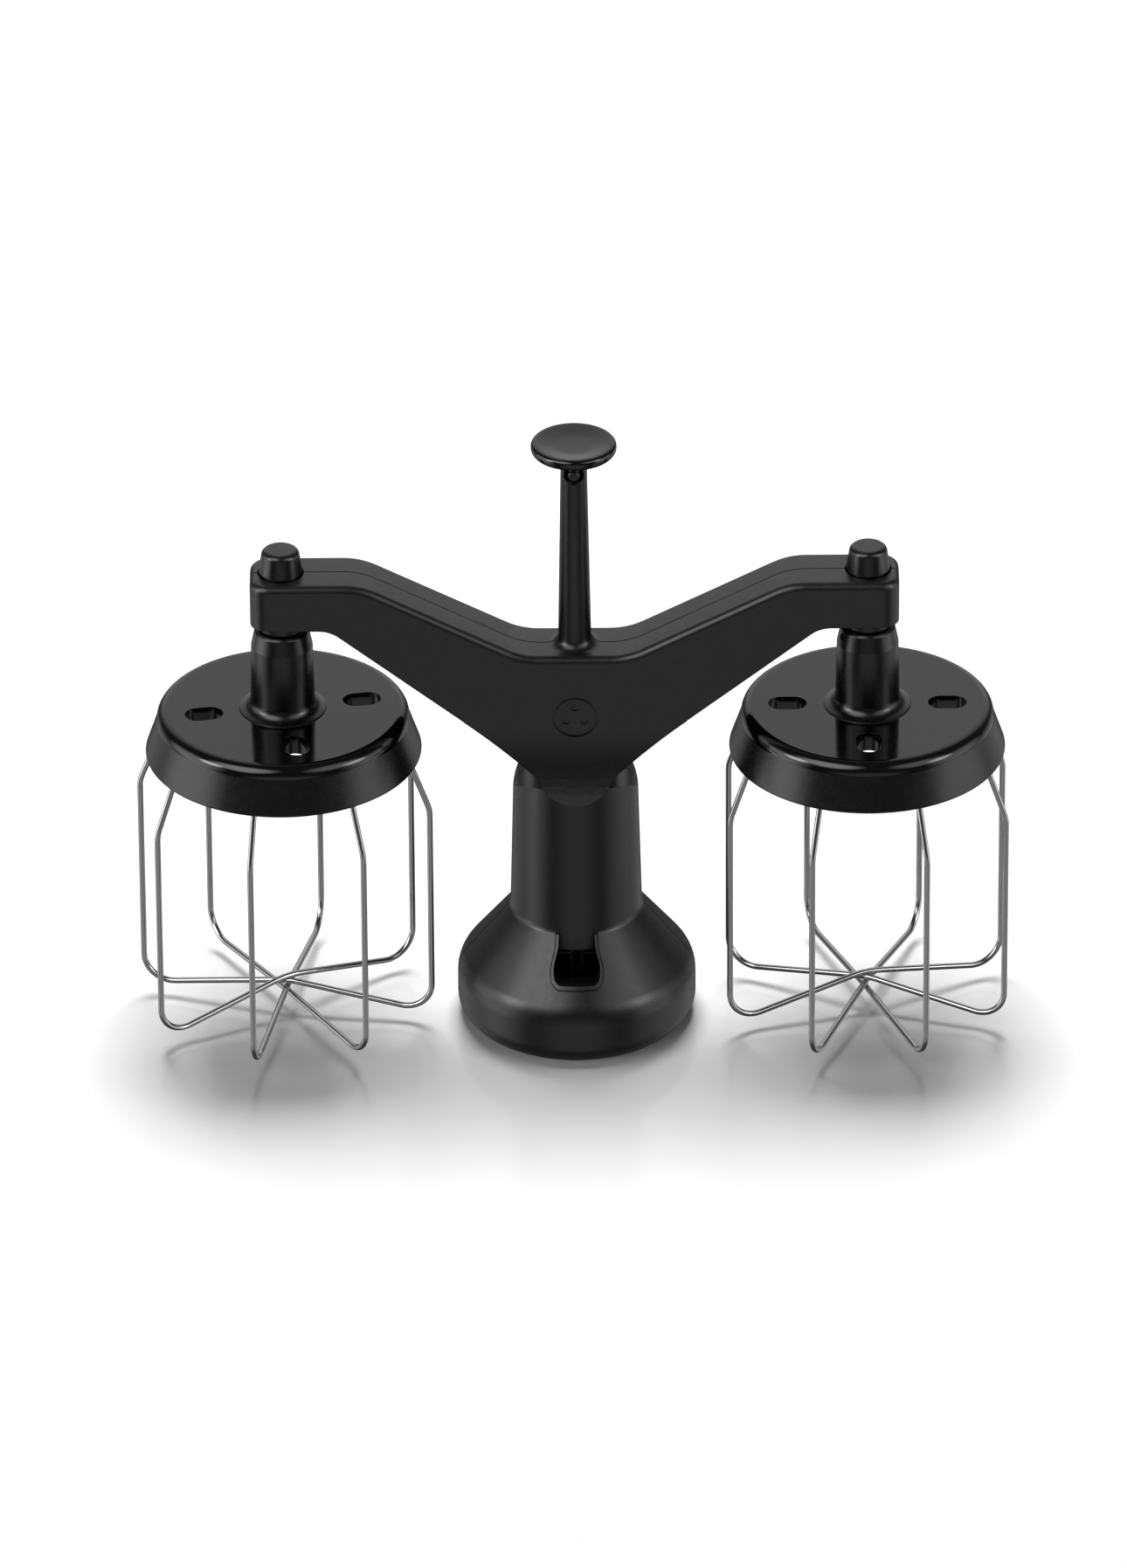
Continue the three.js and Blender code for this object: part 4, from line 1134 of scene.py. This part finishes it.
@dataclass
class Studio:
    """Pale floor, soft surroundings, one overhead lamp and the camera."""

    look_at: Vector = field(default_factory=lambda: Vector((-0.003, 0, 0.0635)))
    elevation: float = math.radians(30)
    distance: float = 3.5
    lens: float = 325.0
    roll: float = math.radians(-0.38)
    ambient: float = 0.08
    room_share: float = 0.22  # how much of the surroundings lights matt surfaces; the lamp does the rest
    boxes: tuple[SoftBox, ...] = (
        SoftBox((0, 1, 0.56), 18, 44, 0.76),  # white wall behind
        SoftBox((-0.98, -0.13, 0.04), 4, 36, 2.2),  # left reflector
        SoftBox((-0.86, -0.18, -0.48), 5, 26, 0.7),  # its glow on the table
        SoftBox((0.98, -0.13, 0.04), 4, 34, 1.4),  # right reflector
        SoftBox((0.86, -0.18, -0.48), 6, 30, 0.4),  # its glow on the table
        SoftBox((-0.70, 0.50, -0.42), 6, 36, 0.42),  # table behind, on the left
        SoftBox((0.70, 0.50, -0.42), 6, 36, 0.46),  # table behind, on the right
        SoftBox((0, -0.87, -0.5), 12, 38, 0.42),  # front of the table
        SoftBox((-0.85, -0.35, 0.36), 3, 14, 9.0),  # left strip, for the bright lines along hollow corners
        SoftBox((0.85, -0.35, 0.36), 3, 14, 6.0),  # right strip
        SoftBox((-0.49, -0.53, 0.68), 8, 30, 3.8),  # upper left window light
        SoftBox((0.60, -0.50, 0.55), 6, 28, 1.7),  # upper right window light
    )

    def floor(self) -> None:
        """A pale floor far wider than the view. Gloss and steel mirror the studio round it instead."""
        bm = bmesh.new()
        bmesh.ops.create_grid(bm, x_segments=1, y_segments=1, size=6)
        mesh = bpy.data.meshes.new("floor")
        bm.to_mesh(mesh)
        bm.free()
        obj = bpy.data.objects.new("floor", mesh)
        bpy.context.scene.collection.objects.link(obj)
        material = bpy.data.materials.new("white_acrylic_sheet")
        material.use_nodes = True
        shader = material.node_tree.nodes["Principled BSDF"]
        shader.inputs["Base Color"].default_value = linear("f6f6f6")
        shader.inputs["Roughness"].default_value = 0.14
        mesh.materials.append(material)
        obj.visible_glossy = False
        # Also lays the painted shade disc inside the bell.
        self.shade()

    def shade(self) -> None:
        """A black disc on the table inside the bell: painted shade, which keeps the hollow as dark as a
        closed one is.
        """
        bm = bmesh.new()
        bmesh.ops.create_circle(bm, cap_ends=True, segments=64, radius=24.5 * MM,
                                matrix=Matrix.Translation((0, 0, 0.1 * MM)))
        mesh = bpy.data.meshes.new("shade")
        bm.to_mesh(mesh)
        bm.free()
        obj = bpy.data.objects.new("shade", mesh)
        bpy.context.scene.collection.objects.link(obj)
        material = bpy.data.materials.new("black_paper")
        material.use_nodes = True
        shader = material.node_tree.nodes["Principled BSDF"]
        # Painted shade: a near-black, matt, unreflective disc that stands for the shadow inside the bell.
        shader.inputs["Base Color"].default_value = linear("030303")
        shader.inputs["Roughness"].default_value = 1.0
        shader.inputs["Specular IOR Level"].default_value = 0.0
        mesh.materials.append(material)

    def surroundings(self) -> None:
        """Sum of the soft boxes over a dim ambient."""
        world = bpy.data.worlds.new("studio")
        world.use_nodes = True
        tree = world.node_tree
        way = add_node(tree, "ShaderNodeTexCoord").outputs["Generated"]
        total: Any = self.ambient
        for box in self.boxes:
            near = add_node(tree, "ShaderNodeVectorMath", {"operation": "DOT_PRODUCT"},
                            {0: way, 1: Vector(box.towards).normalized()})
            glow = add_node(tree, "ShaderNodeMapRange", {"interpolation_type": "SMOOTHSTEP"}, {
                "Value": near.outputs["Value"],
                "From Min": math.cos(math.radians(box.zero_angle)),
                "From Max": math.cos(math.radians(box.full_angle)),
                "To Min": 0.0, "To Max": box.strength})
            total = add_node(tree, "ShaderNodeMath", {"operation": "ADD"},
                             {0: total, 1: glow.outputs["Result"]}).outputs["Value"]
        glossy = add_node(tree, "ShaderNodeLightPath").outputs["Is Glossy Ray"]
        share = add_node(tree, "ShaderNodeMapRange", {}, {
            "Value": glossy, "To Min": self.room_share, "To Max": 1.0})
        total = add_node(tree, "ShaderNodeMath", {"operation": "MULTIPLY"},
                         {0: total, 1: share.outputs["Result"]}).outputs["Value"]
        background = tree.nodes["Background"]
        background.inputs["Color"].default_value = (1, 1, 1, 1)
        tree.links.new(total, background.inputs["Strength"])
        bpy.context.scene.world = world

    def lamp(self, name: str, place: Sequence[float], size: Point2, power: float) -> None:
        """One lamp with a rectangular cloth that faces the object.

        Args:
            name: Name of the lamp.
            place: Where it hangs, in metres.
            size: Width and depth of its cloth, in metres.
            power: Its power, in watts.
        """
        data = bpy.data.lights.new(name, "AREA")
        data.shape = "RECTANGLE"
        data.size, data.size_y = size
        data.energy = power
        obj = bpy.data.objects.new(name, data)
        bpy.context.scene.collection.objects.link(obj)
        obj.location = place
        obj.rotation_euler = (self.look_at - Vector(place)).to_track_quat("-Z", "Y").to_euler()
        obj.visible_glossy = False

    def camera(self) -> None:
        """The camera, straight in front and above."""
        data = bpy.data.cameras.new("camera")
        data.lens = self.lens
        data.sensor_fit = "VERTICAL"
        data.sensor_height = 36
        data.clip_end = 50
        obj = bpy.data.objects.new("camera", data)
        bpy.context.scene.collection.objects.link(obj)
        away = Vector((0, -math.cos(self.elevation), math.sin(self.elevation)))
        obj.location = self.look_at + away * self.distance
        tilt = Matrix.Rotation(math.pi / 2 - self.elevation, 4, "X") @ Matrix.Rotation(self.roll, 4, "Z")
        obj.rotation_euler = tilt.to_euler()
        bpy.context.scene.camera = obj

    def build(self) -> None:
        """Set the whole studio up."""
        bpy.context.scene.view_settings.view_transform = "Standard"
        self.camera()
        self.floor()
        self.surroundings()
        self.lamp("overhead_lamp", (-0.02, 0.5, 1.35), (0.75, 0.75), 27.0)


def dress_hidden_nodes(frame: dict[str, Any], finishes: Finishes) -> None:
    """Give the frame's own gears, bearings, springs and spindles their finishes.

    Args:
        frame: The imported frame.
        finishes: All finishes of the head.
    """
    looks = finishes.by_slot()
    for entry in frame["record"]["subparts"]:
        node = frame["nodes"][entry["node"]]
        node.data.materials.clear()
        node.data.materials.append(looks[entry["material_slot"]])
        LOG.info("%s: keeps its own mesh, %s", entry["node"], entry["material_slot"])


def main(frame: dict[str, Any]) -> None:
    """Build the whole head and its studio.

    Args:
        frame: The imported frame.
    """
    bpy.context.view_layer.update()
    finishes = Finishes()
    dress_hidden_nodes(frame, finishes)
    low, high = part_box("right_spindle")
    axis_x = (low.x + high.x) / 2 / MM
    Housing(finishes, axis_x).build()
    DriveShaft(finishes).build()
    Whisk(finishes, Side.RIGHT, axis_x, 0.0).build()
    Whisk(finishes, Side.LEFT, axis_x, math.radians(190)).build()
    Studio().build()


if __name__ == "__main__":
    logging.basicConfig(level=logging.INFO, format="%(message)s")
    main(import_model())
